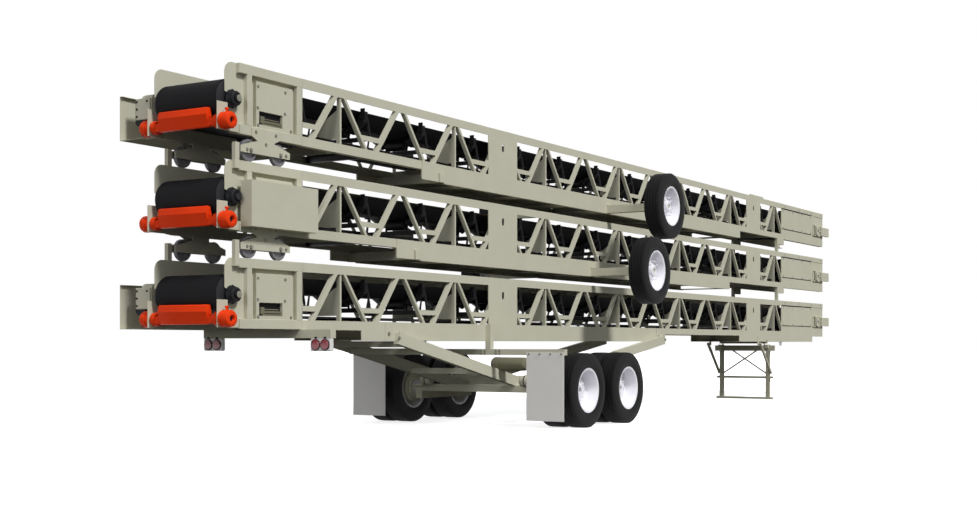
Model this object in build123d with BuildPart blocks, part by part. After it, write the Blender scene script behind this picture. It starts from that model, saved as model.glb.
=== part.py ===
from build123d import *
import os
from math import atan2, cos, degrees, hypot, radians, sin

# Three belt conveyors stacked for the road on a tandem axle group with a kingpin.
# X runs from the head ends (minus) to the towing end (plus), Y to the left, Z up from the ground.
# Lengths are millimetres. "Station" is the distance ahead of the head plates' rear edge.
os.makedirs("parts", exist_ok=True)

# Running and seating clearances
seat_gap = 0.3
running_gap = 0.05
cut_over = 20.0
weld_lap = 4.0

# Truss of one conveyor
frame_length = 19760.0
truss_height = 745.0
truss_half = 508.0
chord_leg = 105.0
chord_shelf = 76.0
chord_wall = 10.0
chord_start = 215.0
bay = 1220.0
first_top_node = 1930.0
bays = 12
top_node_half = 85.0
bottom_node_half = 110.0
diagonal_width = 54.0
falling_width = 34.0
diagonal_wall = 6.0
diagonal_lap = 46.0
splice_nodes = (3, 11)
splice_half = 385.0
slot_width = 60.0
slot_height = 110.0
slot_rise = 505.0
tail_panel_start = 16990.0
strut_top = 265.0
strut_height = 60.0
ledge_reach = 40.0
ledge_end = 18300.0

# Head plates and their stiffeners
plate_wall = 8.0
plate_corner = 110.0
head_rib = (336.0, 412.0)
head_post = (1149.0, 1244.0)
cover_start = 482.0
cover_end = 1075.0
cover_wall = 6.0
window_start = 527.0
window_end = 910.0
window_low = 205.0
window_high = 285.0

# Stack and ground
stack_pitch = 1020.0
lowest_chord = 1295.0
levels = ("bottom", "middle", "top")

# Belt, pulleys and idlers
belt_width = 840.0
belt_wall = 10.0
trough_flat = 290.0
trough_angle = 35.0
belt_line = 410.0
roll_radius = 63.5
roll_shaft = 12.0
wing_start = 10.0
wing_length = 240.0
centre_roll_half = 140.0
idler_base = 60.0
idler_wall = 6.0
head_pulley = 203.0
tail_pulley = 178.0
pulley_half = 440.0
head_shaft_station = 145.0
tail_shaft_station = 19300.0
return_line = 143.5
head_shaft = 37.5
tail_shaft = 32.0
first_idler = 1320.0
last_trough_idler = 18160.0
return_roll_half = 430.0
return_bracket_out = 470.0

# Belt cleaner below the head pulley
scraper_back = 100.0
scraper_rise = 80.0
scraper_cap = 90.0
scraper_cap_length = 130.0
scraper_tube = 32.0
blade_half = 370.0
blade_wall = 26.0

# Screw take-ups at the tail
takeup_reach = 300.0
takeup_window = (19090.0, 19500.0)
takeup_window_rise = (235.0, 430.0)
takeup_block_high = 190.0
takeup_block_deep = 52.0

# Drive on the left of the top and bottom conveyors, with its guard
guard_back = 70.0
guard_front = 1900.0
guard_out = 950.0
guard_high = 480.0
guard_wall = 5.0
bearing_half = 75.0
bearing_deep = 58.0
reducer_deep = 150.0
reducer_half = 135.0
sheave_radius = 190.0
sheave_width = 80.0
motor_sheave = 70.0
motor_radius = 135.0
motor_station = 1350.0
motor_rise = 200.0
drive_belt = 12.0

# Closed drive cover on the right of the middle conveyor
box_back = 230.0
box_front = 1330.0
box_low = 50.0
box_high = 535.0
box_deep = 152.0

# Folded undercarriages of the two upper conveyors
fold_depth = 135.0
fold_flange = 60.0
fold_wall = 8.0
fold_station = {"middle": 8300.0, "top": 8850.0}
fold_rear = 4740.0
fold_front = 5760.0
fold_bracket = 900.0
axle_drop = 70.0
upper_axle_half = 60.0
upper_wheel_centre = 1480.0

# Road wheels
tyre_radius = 507.0
tyre_width = 280.0
rim_radius = 286.0
rim_flange = 310.0
rim_wall = 10.0
hub_radius = 110.0
spindle = 42.0
dual_spacing = 320.0
dual_centre = 1430.0

# Tandem axle group
rear_axle_station = 5830.0
axle_spacing = 1245.0
axle_tube = 50.0
axle_tube_half = 1100.0
cross_tube = 100.0
cross_tube_half = 1040.0
arm_rear_station = 2980.0
arm_front_station = 10850.0
arm_high = 145.0
arm_wide = 76.0
arm_drop = 90.0
beam_low = 118.0
beam_start = 2330.0
beam_end = 10980.0

# Bogies on which each upper conveyor's head end rolls
bogie_wheel = 120.0
bogie_wheel_width = 50.0
bogie_stations = (380.0, 860.0)
bogie_pin = 14.0
bogie_plate_low = 184.0
bogie_plate_wall = 10.0

# Landing stand
stand_station = 16200.0
stand_leg = 75.0
stand_leg_y = 500.0
stand_pivot_back = 80.0
stand_pivot_drop = 70.0
stand_pin = 14.0

# Derived places
rear_reach = scraper_back + scraper_cap
overall_length = rear_reach + frame_length + takeup_reach
head_x = -overall_length / 2 + rear_reach
chord_inner = truss_half - chord_wall
plate_inner = chord_inner - plate_wall
rear_axle_x = head_x + rear_axle_station
head_axle_rise = return_line + belt_wall + seat_gap + head_pulley
tail_axle_rise = return_line + belt_wall + seat_gap + tail_pulley
hanger_low = 30.0
hanger_high = 300.0
takeup_cover_gap = 40.0
takeup_slide_deep = 100.0
takeup_shaft_end = 560.0
return_slot = 30.0
slot_above = 12.0
side_room = 25.0
wing_gap = 452.0
wing_knee_rise = 500.0
trough_room = 160.0
trough_drop = 90.0
post_leg = 30.0
idler_half = 486.0
idler_leg = 50.0
bracket_foot = 30.0
bracket_room = 6.0
bracket_tip = 36.0
shaft_reach = 19.0
blade_angle = 33.0
drive_gap = 24.0
guard_lip = 40.0
notch_gap = 8.0
fold_bracket_end = 520.0
fold_bracket_start = 150.0
fold_tube_back = 140.0
fold_tube = 100.0
fold_tube_out = 30.0
fold_plate = 300.0
fold_plate_shares = (0.03, 0.17, 0.3, 0.4, 0.62, 0.8, 0.96)
upper_axle_end = 1320.0
spindle_past = 60.0
tyre_shoulder = 36.0
rim_inset = 22.0
disc_offset = 30.0
hub_clear = 12.0
brake_radius = 205.0
bogie_inner = 418.0
bogie_half = 396.0
bogie_end_drop = 115.0
bogie_arm_half = 250.0
bogie_arm_drop = 72.0
bogie_neck = 260.0
bogie_neck_drop = 44.0
bogie_top_half = 225.0
bogie_top = 88.0
rest_station = 16750.0
rest_post = 60.0
rest_bracket = 400.0
rest_depth = 120.0
saddle_start = 14570.0
saddle_end = 15800.0
coupler_start = 17600.0
coupler_end = 19040.0
lug_deep = 10.0
lug_half = 180.0
flap_station = 5120.0
flap_post = 80.0
flap_beam_low = 985.0
flap_out = 1720.0
flap_inner = 1150.0
flap_low = 110.0
flap_wall = 10.0
lamp_station = 1205.0
lamp_beam = 95.0
lamp_out = 930.0
lamp_box = 280.0
lamp_high = 145.0
lamp_deep = 60.0
lamp_lens = 52.0
lamp_lens_deep = 14.0
kingpin_station = 18390.0
pin_collar = 36.5
pin_collar_length = 35.0
pin_neck = 25.4
pin_neck_length = 36.0
pin_flange = 35.7
pin_flange_length = 13.0
pin_shoulder = 42.0
pin_head = 65.0
pin_head_wall = 12.0
cross_tube_rise = 570.0
arm_rear_low = 507.0
arm_front_low = 600.0
arm_brace_shares = (0.03, 0.16, 0.55)
arm_brace_drop = 52.0
walking_inner = 975.0
walking_outer = 1090.0
walking_beam = 110.0
stand_drop = 60.0
stand_foot_wall = 16.0
stand_foot_half = 600.0
stand_bar_rise = 425.0
stand_bar = 30.0
stand_beam_rise = 990.0
stand_beam_high = 110.0
stand_beam_half = 640.0
cross_rod = 9.0
brace_station = 15600.0
brace_top = 1130.0
brace_low = 545.0
brace_pin = 12.0
brace_lug = 40.0
hanger_half = 25.0
hanger_wall = 10.0
brace_gap = 6.0
brace_wide = 34.0
brace_high = 50.0
brace_centre = stand_leg_y + stand_leg / 2 + brace_gap + brace_wide / 2


def station(distance):
    """The X of a distance ahead of the head plates' rear edge."""
    return head_x + distance


def upright(low_y, floor=lowest_chord):
    """An elevation plane: sketch X is the station and sketch Y the rise above the floor."""
    return Plane(origin=(head_x, low_y, floor), x_dir=(1, 0, 0), z_dir=(0, -1, 0))


def section(x, floor=lowest_chord):
    """A cross-section plane: sketch X is Y and sketch Y the rise above the floor."""
    return Plane(origin=(x, 0, floor), x_dir=(0, 1, 0), z_dir=(1, 0, 0))


def rect(x0, x1, y0, y1, mode=Mode.ADD):
    """A rectangle between two corners."""
    with Locations(((x0 + x1) / 2, (y0 + y1) / 2)):
        Rectangle(abs(x1 - x0), abs(y1 - y0), mode=mode)


def bar(start, end, width, edge=0.0):
    """A flat bar between two points, moved sideways by edge."""
    run, rise = end[0] - start[0], end[1] - start[1]
    length = hypot(run, rise)
    shift = (-rise / length * edge, run / length * edge)
    middle = ((start[0] + end[0]) / 2 + shift[0], (start[1] + end[1]) / 2 + shift[1])
    with Locations(middle):
        Rectangle(length, width, rotation=degrees(atan2(rise, run)))


def polygon(*points, mode=Mode.ADD):
    """A face inside a closed line of points."""
    with BuildLine() as outline:
        Polyline(*points, close=True)
    make_face(outline.line, mode=mode)


def block(x0, x1, y0, y1, z0, z1, mode=Mode.ADD):
    """A plate or bar with square corners."""
    with BuildSketch(Plane.XY.offset(z0)) as face:
        rect(x0, x1, y0, y1)
    extrude(face.sketch, amount=z1 - z0, mode=mode)


def drum(x, z, y0, y1, outer, inner=0.0, mode=Mode.ADD):
    """A round piece or a ring about an axle along Y."""
    with BuildSketch(Plane(origin=(x, y0, z), x_dir=(1, 0, 0), z_dir=(0, 1, 0))) as face:
        Circle(outer)
        if inner > 0:
            Circle(inner, mode=Mode.SUBTRACT)
    extrude(face.sketch, amount=y1 - y0, mode=mode)


def rod(start, end, radius):
    """A round rod between two points."""
    line = Vector(*end) - Vector(*start)
    with BuildSketch(Plane(origin=start, z_dir=line)) as face:
        Circle(radius)
    extrude(face.sketch, amount=line.length)


def strut(start, end, wide, high, wall=0.0):
    """A box section between two points, its width level; with a wall it is a hollow tube."""
    line = Vector(*end) - Vector(*start)
    level_dir = Vector(-line.Y, line.X, 0) if hypot(line.X, line.Y) > 0 else Vector(1, 0, 0)
    with BuildSketch(Plane(origin=start, x_dir=level_dir, z_dir=line)) as face:
        Rectangle(wide, high)
        if wall > 0:
            Rectangle(wide - 2 * wall, high - 2 * wall, mode=Mode.SUBTRACT)
    extrude(face.sketch, amount=line.length)


def lifted(piece, rise):
    """A copy of a piece at another height."""
    with BuildPart() as copy:
        with Locations((0, 0, rise)):
            add(piece.part)
    return copy


def mirrored(piece):
    """The same piece on the other side of the machine."""
    with BuildPart() as copy:
        add(piece.part)
        mirror(about=Plane.XZ, mode=Mode.REPLACE)
    return copy


def save(piece, name):
    """Labels a piece and writes it."""
    piece.part.label = name
    export_step(piece.part, f"parts/{name}.step")


# Side truss, right side: web elevation, inward legs, chord shelves and head plate
def build_truss():
    top_nodes = [first_top_node + bay * i for i in range(bays + 1)]
    low_nodes = [node - bay / 2 for node in top_nodes]
    low_edge, high_edge = chord_leg, truss_height - chord_leg
    lean = Vector(bay / 2 - top_node_half - bottom_node_half, high_edge - low_edge).normalized()
    lap = lean * diagonal_lap

    def rising(i):
        start = Vector(low_nodes[i] + bottom_node_half, low_edge) - lap
        end = Vector(top_nodes[i] - top_node_half, high_edge) + lap
        return (start.X, start.Y), (end.X, end.Y)

    def falling(i):
        start = Vector(low_nodes[i] + bay - bottom_node_half + lap.X, low_edge - lap.Y)
        end = Vector(top_nodes[i] + top_node_half - lap.X, high_edge + lap.Y)
        return (start.X, start.Y), (end.X, end.Y)

    with BuildPart() as truss:
        with BuildSketch(upright(-truss_half)):
            rect(chord_start, frame_length, 0, low_edge)
            rect(chord_start, frame_length, high_edge, truss_height)
            for low, high in (head_rib, head_post):
                rect(low, high, low_edge - weld_lap, high_edge + weld_lap)
            for i in range(bays + 1):
                bar(*rising(i), diagonal_width)
                bar(*falling(i), falling_width)
                slope = lean.X / lean.Y
                foot = bottom_node_half + (strut_top - strut_height - low_edge) * slope
                head = bottom_node_half + (strut_top - low_edge) * slope
                polygon(
                    (low_nodes[i] - foot, strut_top - strut_height),
                    (low_nodes[i] + foot, strut_top - strut_height),
                    (low_nodes[i] + head, strut_top),
                    (low_nodes[i] - head, strut_top),
                )
            for i in splice_nodes:
                rect(top_nodes[i] - splice_half, top_nodes[i] + splice_half, low_edge, high_edge)
                with Locations((top_nodes[i], slot_rise)):
                    SlotOverall(slot_height, slot_width, rotation=90, mode=Mode.SUBTRACT)
            rect(tail_panel_start, frame_length, low_edge, high_edge)
            rect(*takeup_window, *takeup_window_rise, mode=Mode.SUBTRACT)
        extrude(amount=-chord_wall)
        with BuildSketch(upright(-chord_inner)):
            for i in range(bays + 1):
                bar(*rising(i), diagonal_wall, (diagonal_width - diagonal_wall) / 2)
                bar(*falling(i), diagonal_wall, (falling_width - diagonal_wall) / 2)
        extrude(amount=-(diagonal_width - chord_wall))
        with BuildSketch(upright(-chord_inner)):
            for i in range(bays + 1):
                half = bottom_node_half + bay / 12
                rect(low_nodes[i] - half, low_nodes[i] + half, strut_top - diagonal_wall, strut_top)
            rect(tail_panel_start, ledge_end, strut_top - diagonal_wall, strut_top)
        extrude(amount=-ledge_reach)
        with BuildSketch(upright(-chord_inner)):
            rect(chord_start, frame_length, 0, chord_wall)
            rect(chord_start, frame_length, truss_height - chord_wall, truss_height)
        extrude(amount=-chord_shelf)
        with BuildSketch(upright(-chord_inner)):
            rect(0, head_post[1], 0, truss_height)
            corner = [v for v in vertices() if v.X < weld_lap and v.Y > high_edge]
            fillet(corner, plate_corner)
            with Locations((head_shaft_station, head_axle_rise)):
                Circle(head_shaft + seat_gap, mode=Mode.SUBTRACT)
        extrude(amount=-plate_wall)
        with BuildSketch(upright(-chord_inner - cover_wall)):
            rect(cover_start, cover_end, low_edge, high_edge)
        extrude(amount=-cover_wall)
        with BuildSketch(upright(-truss_half)):
            rect(window_start, window_end, window_low, window_high)
        extrude(amount=-(chord_wall + plate_wall + cut_over), mode=Mode.SUBTRACT)
        # Hanger plate of the belt cleaner, inside the head plate
        with BuildSketch(upright(-plate_inner)):
            rect(-scraper_back - scraper_tube - plate_wall, chord_start, hanger_low, hanger_high)
            with Locations((-scraper_back, scraper_rise)):
                Circle(scraper_tube + seat_gap, mode=Mode.SUBTRACT)
            with Locations((head_shaft_station, head_axle_rise)):
                Circle(head_shaft + seat_gap, mode=Mode.SUBTRACT)
        extrude(amount=-plate_wall)
        # Screw cover of the take-up, outside the tail panel
        with BuildSketch(upright(-truss_half - takeup_block_deep)):
            rect(
                takeup_window[1] + takeup_cover_gap,
                frame_length + takeup_reach,
                tail_axle_rise - takeup_block_high / 2,
                tail_axle_rise + takeup_block_high / 2,
            )
        extrude(amount=-takeup_block_deep)
    return truss


# Cross frames at every second upper node: floor plate, two gussets and two angle posts
def build_cross_members():
    slot_low = return_line - return_slot
    slot_high = return_line + belt_wall + slot_above
    slot_half = belt_width / 2 + side_room
    floor_half = slot_half - seat_gap
    post_back = chord_inner - diagonal_wall
    gusset_back = post_back - seat_gap
    gusset_top = wing_knee_rise - seat_gap
    foot = lowest_chord + chord_wall
    head = lowest_chord + truss_height - chord_wall
    with BuildPart() as ring:
        block(0, plate_wall, -floor_half, floor_half, foot, lowest_chord + slot_low)
        block(0, post_leg, -floor_half, floor_half, foot, foot + plate_wall)
        for side in (-1, 1):
            with BuildSketch(section(0)):
                polygon(
                    (side * gusset_back, chord_wall),
                    (side * gusset_back, gusset_top),
                    (side * wing_gap, gusset_top),
                    (side * trough_room, belt_line - trough_drop),
                    (side * trough_room, slot_high),
                    (side * slot_half, slot_high),
                    (side * slot_half, chord_wall),
                )
            extrude(amount=plate_wall)
            y0, y1 = sorted((side * post_back, side * chord_inner))
            block(0, post_leg, y0, y1, foot, head)
            y0, y1 = sorted((side * wing_gap, side * chord_inner))
            block(0, plate_wall, y0, y1, lowest_chord + wing_knee_rise, head)
    with BuildPart() as cross_members:
        places = [(station(first_top_node + 2 * bay * i), 0, 0) for i in range(bays // 2 + 1)]
        with Locations(*places):
            add(ring.part)
    return cross_members


def belt_section(line_rise, tip_run, tip_climb):
    """The belt's cross-section: a flat middle and two wings that end tip_run out and tip_climb up."""
    flat = trough_flat / 2
    length = hypot(tip_run, tip_climb)
    lift = (-tip_climb / length * belt_wall, tip_run / length * belt_wall)
    polygon(
        (-flat - tip_run, line_rise + tip_climb),
        (-flat, line_rise),
        (flat, line_rise),
        (flat + tip_run, line_rise + tip_climb),
        (flat + tip_run + lift[0], line_rise + tip_climb + lift[1]),
        (flat, line_rise + belt_wall),
        (-flat, line_rise + belt_wall),
        (-flat - tip_run - lift[0], line_rise + tip_climb + lift[1]),
    )


def tangent_radius(pulley, run):
    """Height over a pulley's axle of a belt line that leaves it downward and just touches it."""
    bottom = return_line + belt_wall + seat_gap
    drop = bottom + 2 * pulley + seat_gap - belt_line
    return (pulley + seat_gap) * hypot(run, drop) / run


# Endless belt: troughed on top, flat below, wrapped round both pulleys
def build_belt():
    half = belt_width / 2
    wing = half - trough_flat / 2
    run, climb = wing * cos(radians(trough_angle)), wing * sin(radians(trough_angle))
    head_top = head_axle_rise + tangent_radius(head_pulley, first_idler - head_shaft_station)
    tail_top = tail_axle_rise + tangent_radius(tail_pulley, tail_shaft_station - last_trough_idler)
    with BuildPart() as belt:
        for x, top, end in (
            (station(head_shaft_station), head_top, station(first_idler)),
            (station(tail_shaft_station), tail_top, station(last_trough_idler)),
        ):
            with BuildSketch(section(x)):
                belt_section(top, wing, 0)
            with BuildSketch(section(end)):
                belt_section(belt_line, run, climb)
            loft(ruled=True)
        with BuildSketch(section(station(first_idler))):
            belt_section(belt_line, run, climb)
        extrude(amount=last_trough_idler - first_idler)
        for x, rise, radius, back in (
            (station(head_shaft_station), head_axle_rise, head_pulley, -1),
            (station(tail_shaft_station), tail_axle_rise, tail_pulley, 1),
        ):
            with BuildSketch(Plane(origin=(x, -half, lowest_chord + rise), x_dir=(1, 0, 0), z_dir=(0, 1, 0))):
                Circle(radius + seat_gap + belt_wall)
                Circle(radius + seat_gap, mode=Mode.SUBTRACT)
                reach = radius + belt_wall + cut_over
                rect(-back * reach, 0, -reach, reach, mode=Mode.SUBTRACT)
            extrude(amount=belt_width)
        low = lowest_chord + return_line
        block(station(head_shaft_station), station(tail_shaft_station), -half, half, low, low + belt_wall)
    return belt


# One troughing idler: cross angle with the centre roll, and a wing roll in its bracket each side
def build_trough_idler():
    angle = radians(trough_angle)
    flat = trough_flat / 2
    base_top = strut_top + idler_wall
    axle_drop_y, axle_drop_z = roll_radius * sin(angle), roll_radius * cos(angle)
    line = belt_line - seat_gap
    centre_axle = line - roll_radius
    bracket_inner = centre_roll_half + bracket_room

    def wing_point(distance):
        y = flat + distance * cos(angle) + axle_drop_y
        z = line + distance * sin(angle) - axle_drop_z
        return y, z

    wing_end = wing_start + wing_length
    with BuildPart() as idler:
        low = lowest_chord + strut_top
        block(-idler_base / 2, idler_base / 2, -idler_half, idler_half, low, low + idler_wall)
        leg_half = chord_inner - diagonal_width
        block(-idler_base / 2, idler_wall - idler_base / 2, -leg_half, leg_half, low - idler_leg, low)
        with BuildSketch(section(-plate_wall / 2)):
            for side in (-1, 1):
                inner_y, inner_z = wing_point(wing_start - shaft_reach)
                polygon(
                    (side * bracket_inner, base_top),
                    (side * inner_y, base_top),
                    (side * inner_y, inner_z),
                    (side * (inner_y - roll_shaft), centre_axle + 2 * roll_shaft),
                    (side * bracket_inner, centre_axle + roll_shaft),
                )
                tip_y, tip_z = wing_point(wing_end + bracket_tip)
                polygon(
                    (side * (idler_half - bracket_foot), base_top + seat_gap),
                    (side * idler_half, base_top + seat_gap),
                    (side * idler_half, base_top + bracket_foot),
                    (side * (tip_y + bracket_foot), tip_z - bracket_foot),
                    (side * (tip_y + roll_shaft), tip_z + 2 * roll_shaft),
                    (side * (tip_y - roll_shaft), tip_z + roll_shaft),
                    (side * (tip_y + roll_shaft), tip_z - bracket_foot),
                )
        extrude(amount=plate_wall)
        z = lowest_chord + centre_axle
        drum(0, z, -centre_roll_half, centre_roll_half, roll_radius)
        reach = centre_roll_half + shaft_reach
        drum(0, z, -reach, reach, roll_shaft)
        for side in (-1, 1):
            for begin, end, radius in (
                (wing_start, wing_end, roll_radius),
                (wing_end - weld_lap, wing_end + bracket_tip, roll_shaft),
                (wing_start - shaft_reach - weld_lap, wing_start - seat_gap, roll_shaft),
            ):
                (y0, z0), (y1, z1) = wing_point(begin), wing_point(end)
                rod((0, side * y0, lowest_chord + z0), (0, side * y1, lowest_chord + z1), radius)
    return idler


# One flat return idler in its two drop brackets
def build_return_idler():
    z = lowest_chord + return_line - seat_gap - roll_radius
    with BuildPart() as idler:
        drum(0, z, -return_roll_half, return_roll_half, roll_radius)
        drum(0, z, -return_bracket_out, return_bracket_out, roll_shaft)
        for side in (-1, 1):
            inner, outer = sorted((side * (return_bracket_out - plate_wall), side * return_bracket_out))
            foot = lowest_chord + chord_wall
            block(-idler_base / 2, idler_base / 2, inner, outer, foot, z + roll_shaft * 2)
    return idler


def idler_stations():
    """Stations of the troughing idlers, one over each lower node and more under the tail."""
    return [first_idler + bay * i for i in range(bays + 2)] + [last_trough_idler]


# Pulleys and idlers of one conveyor; the driven end's shaft is longer
def build_rollers(left_end, right_end, idler, return_idler):
    with BuildPart() as rollers:
        x, z = station(head_shaft_station), lowest_chord + head_axle_rise
        drum(x, z, -pulley_half, pulley_half, head_pulley)
        drum(x, z, -right_end, left_end, head_shaft)
        x, z = station(tail_shaft_station), lowest_chord + tail_axle_rise
        drum(x, z, -pulley_half, pulley_half, tail_pulley)
        drum(x, z, -takeup_shaft_end, takeup_shaft_end, tail_shaft)
        with Locations(*[(station(place), 0, 0) for place in idler_stations()]):
            add(idler.part)
        places = [first_idler + bay * (2 * i + 1) for i in range(bays // 2 + 1)]
        with Locations(*[(station(place), 0, 0) for place in places]):
            add(return_idler.part)
    return rollers


# Belt cleaner: blade on a tube, with a round tensioner at each end
def build_scraper():
    x, z = station(-scraper_back), lowest_chord + scraper_rise
    with BuildPart() as scraper:
        tube_half = chord_inner + scraper_cap_length / 2
        drum(x, z, -tube_half, tube_half, scraper_tube)
        for side in (-1, 1):
            inner, outer = sorted((side * (chord_inner + seat_gap), side * (chord_inner + scraper_cap_length)))
            drum(x, z, inner, outer, scraper_cap)
        reach = head_pulley + belt_wall + 2 * seat_gap + blade_wall / 2
        tip = (
            head_shaft_station - reach * cos(radians(blade_angle)),
            head_axle_rise - reach * sin(radians(blade_angle)),
        )
        with BuildSketch(upright(-blade_half)):
            bar((-scraper_back, scraper_rise), tip, blade_wall)
            with Locations(tip):
                Circle(blade_wall / 2)
            with Locations((-scraper_back, scraper_rise)):
                Circle(scraper_tube + blade_wall / 2)
        extrude(amount=-2 * blade_half)
    return scraper


def bearing(side, x, z, back_y, deep, half, bore):
    """A square flange bearing on a side plate."""
    low = back_y if side > 0 else -back_y - deep
    with BuildSketch(Plane(origin=(x, low, z), x_dir=(1, 0, 0), z_dir=(0, 1, 0))) as face:
        RectangleRounded(2 * half, 2 * half, half / 3)
        Circle(bore + running_gap, mode=Mode.SUBTRACT)
    extrude(face.sketch, amount=deep)


# Bearings of both shafts, and the drive where it is on the left
def build_drive(driven_left):
    x, z = station(head_shaft_station), lowest_chord + head_axle_rise
    with BuildPart() as drive:
        for side in (-1, 1):
            bearing(side, x, z, chord_inner, bearing_deep, bearing_half, head_shaft)
            tail_x, tail_z = station(tail_shaft_station), lowest_chord + tail_axle_rise
            slide = tail_axle_rise - takeup_window_rise[0] - seat_gap
            back = chord_inner - ledge_reach
            bearing(side, tail_x, tail_z, back, takeup_slide_deep, slide, tail_shaft)
            screw_y = side * (truss_half + takeup_block_deep / 2 - chord_wall)
            rod(
                (tail_x + slide - weld_lap, screw_y, tail_z),
                (station(takeup_window[1] + takeup_cover_gap), screw_y, tail_z),
                roll_shaft,
            )
        if driven_left:
            back = chord_inner + bearing_deep
            low, high = back, back + reducer_deep
            with BuildSketch(Plane(origin=(x, low, z), x_dir=(1, 0, 0), z_dir=(0, -1, 0))):
                RectangleRounded(2 * reducer_half, 2 * reducer_half, reducer_half / 2)
                Circle(head_shaft + running_gap, mode=Mode.SUBTRACT)
            extrude(amount=-reducer_deep)
            sheave_low = high + drive_gap
            drum(x, z, high - weld_lap, sheave_low + weld_lap, motor_sheave, head_shaft + running_gap)
            drum(x, z, sheave_low, sheave_low + sheave_width, sheave_radius, head_shaft + running_gap)
            mx, mz = station(motor_station), lowest_chord + motor_rise
            drum(mx, mz, truss_half + drive_gap, high, motor_radius)
            drum(mx, mz, high - weld_lap, sheave_low + weld_lap, head_shaft)
            drum(mx, mz, sheave_low, sheave_low + sheave_width, motor_sheave)
            foot = lowest_chord + guard_wall
            block(
                mx - motor_radius,
                mx + motor_radius,
                truss_half + drive_gap,
                high,
                foot,
                mz - motor_radius / 2,
            )
    return drive


def bogie_notch(side, low):
    """Cuts the floor of a cover where the plate of a bogie rises beside the chord."""
    middle, neck = sum(bogie_stations) / 2, bogie_top_half
    y0, y1 = sorted((side * (truss_half - cut_over), side * (truss_half + bogie_plate_wall + notch_gap)))
    block(
        station(middle - neck) - notch_gap,
        station(middle + neck) + notch_gap,
        y0,
        y1,
        low - cut_over,
        low + cut_over,
        mode=Mode.SUBTRACT,
    )


# Drive guard: outer wall, floor, front wall and a lip round its upper edge
def build_guard(over_bogie):
    low, high = lowest_chord, lowest_chord + guard_high
    with BuildPart() as guard:
        block(station(-guard_back), station(guard_front), truss_half, guard_out, low, high)
        block(
            station(-guard_back) - cut_over,
            station(guard_front) - guard_wall,
            truss_half - cut_over,
            guard_out - guard_wall,
            low + guard_wall,
            high - guard_wall,
            mode=Mode.SUBTRACT,
        )
        block(
            station(-guard_back) - cut_over,
            station(guard_front) - guard_lip,
            truss_half - cut_over,
            guard_out - guard_lip,
            high - cut_over,
            high + cut_over,
            mode=Mode.SUBTRACT,
        )
        block(
            station(-guard_back) - cut_over,
            station(scraper_cap - scraper_back) + notch_gap,
            truss_half - cut_over,
            chord_inner + scraper_cap_length + notch_gap,
            low - cut_over,
            low + cut_over,
            mode=Mode.SUBTRACT,
        )
        if over_bogie:
            bogie_notch(1, low)
    return guard


# Closed cover of the drive on the right of the middle conveyor
def build_cover():
    low, high = lowest_chord + box_low, lowest_chord + box_high
    near = -truss_half - box_deep
    with BuildPart() as cover:
        block(station(box_back), station(box_front), near, -truss_half, low, high)
        block(
            station(box_back) + guard_wall,
            station(box_front) - guard_wall,
            near + guard_wall,
            cut_over - truss_half,
            low + guard_wall,
            high - guard_wall,
            mode=Mode.SUBTRACT,
        )
        bogie_notch(-1, low)
    return cover


def channel(x0, x1, side, low, high, flange, wall):
    """A channel along the machine, its web outside and its flanges inward, under a chord."""
    out, web, lip = side * truss_half, side * (truss_half - wall), side * (truss_half - flange)
    block(x0, x1, min(out, web), max(out, web), low, high)
    block(x0, x1, min(web, lip), max(web, lip), high - wall, high)
    block(x0, x1, min(web, lip), max(web, lip), low, low + wall)


# Undercarriage of an upper conveyor, folded flat under its truss
def build_undercarriage(centre):
    top = lowest_chord
    low = top - fold_depth
    x = station(centre)
    axle_z = top - axle_drop
    rear, front = x - fold_rear, x + fold_front
    axle_room = upper_axle_half + seat_gap
    strip = truss_half - fold_wall
    with BuildPart() as frame:
        for side in (-1, 1):
            channel(rear, x - axle_room, side, low, top, fold_flange, fold_wall)
            channel(x + axle_room, front, side, low, top, fold_flange, fold_wall)
            bracket_start = rear - fold_bracket_end
            y0, y1 = sorted((side * truss_half, side * (truss_half + chord_wall)))
            block(bracket_start, rear - fold_bracket_start, y0, y1, low + chord_wall, top + chord_leg)
            y0, y1 = sorted((side * strip, side * truss_half))
            block(bracket_start, rear + weld_lap, y0, y1, low + chord_wall, top)
            tube_x = rear - fold_tube_back
            y0, y1 = sorted((side * (truss_half - weld_lap), side * (truss_half + fold_tube_out)))
            block(tube_x, tube_x + fold_tube, y0, y1, low + chord_wall, top - chord_wall)
            spindle_in, spindle_out = side * upper_axle_end, side * (upper_wheel_centre + spindle_past)
            drum(x, axle_z, min(spindle_in, spindle_out), max(spindle_in, spindle_out), spindle)
        block(
            x - upper_axle_half,
            x + upper_axle_half,
            -upper_axle_end,
            upper_axle_end,
            axle_z - upper_axle_half,
            axle_z + upper_axle_half,
        )
        half = strip - seat_gap
        block(tube_x, tube_x + fold_tube, -half, half, low + chord_wall, top - chord_wall)
        half = truss_half - fold_flange - seat_gap
        for share in fold_plate_shares:
            plate_x = rear + share * (fold_rear + fold_front)
            block(plate_x, plate_x + fold_plate, -half, half, low, low + fold_wall)
    return frame


def tyre(x, y, z):
    """A road tyre about an axle along Y."""
    with BuildSketch(Plane(origin=(x, y, z), x_dir=(0, 1, 0), z_dir=(1, 0, 0))) as face:
        half, tread = tyre_width / 2, tyre_width / 2 - tyre_shoulder
        polygon(
            (-tread, tyre_radius),
            (tread, tyre_radius),
            (half, tyre_radius - tyre_shoulder),
            (half, rim_flange),
            (half - rim_inset, rim_radius),
            (rim_inset - half, rim_radius),
            (-half, rim_flange),
            (-half, tyre_radius - tyre_shoulder),
        )
    revolve(face.sketch, axis=Axis((x, y, z), (0, 1, 0)))


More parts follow.
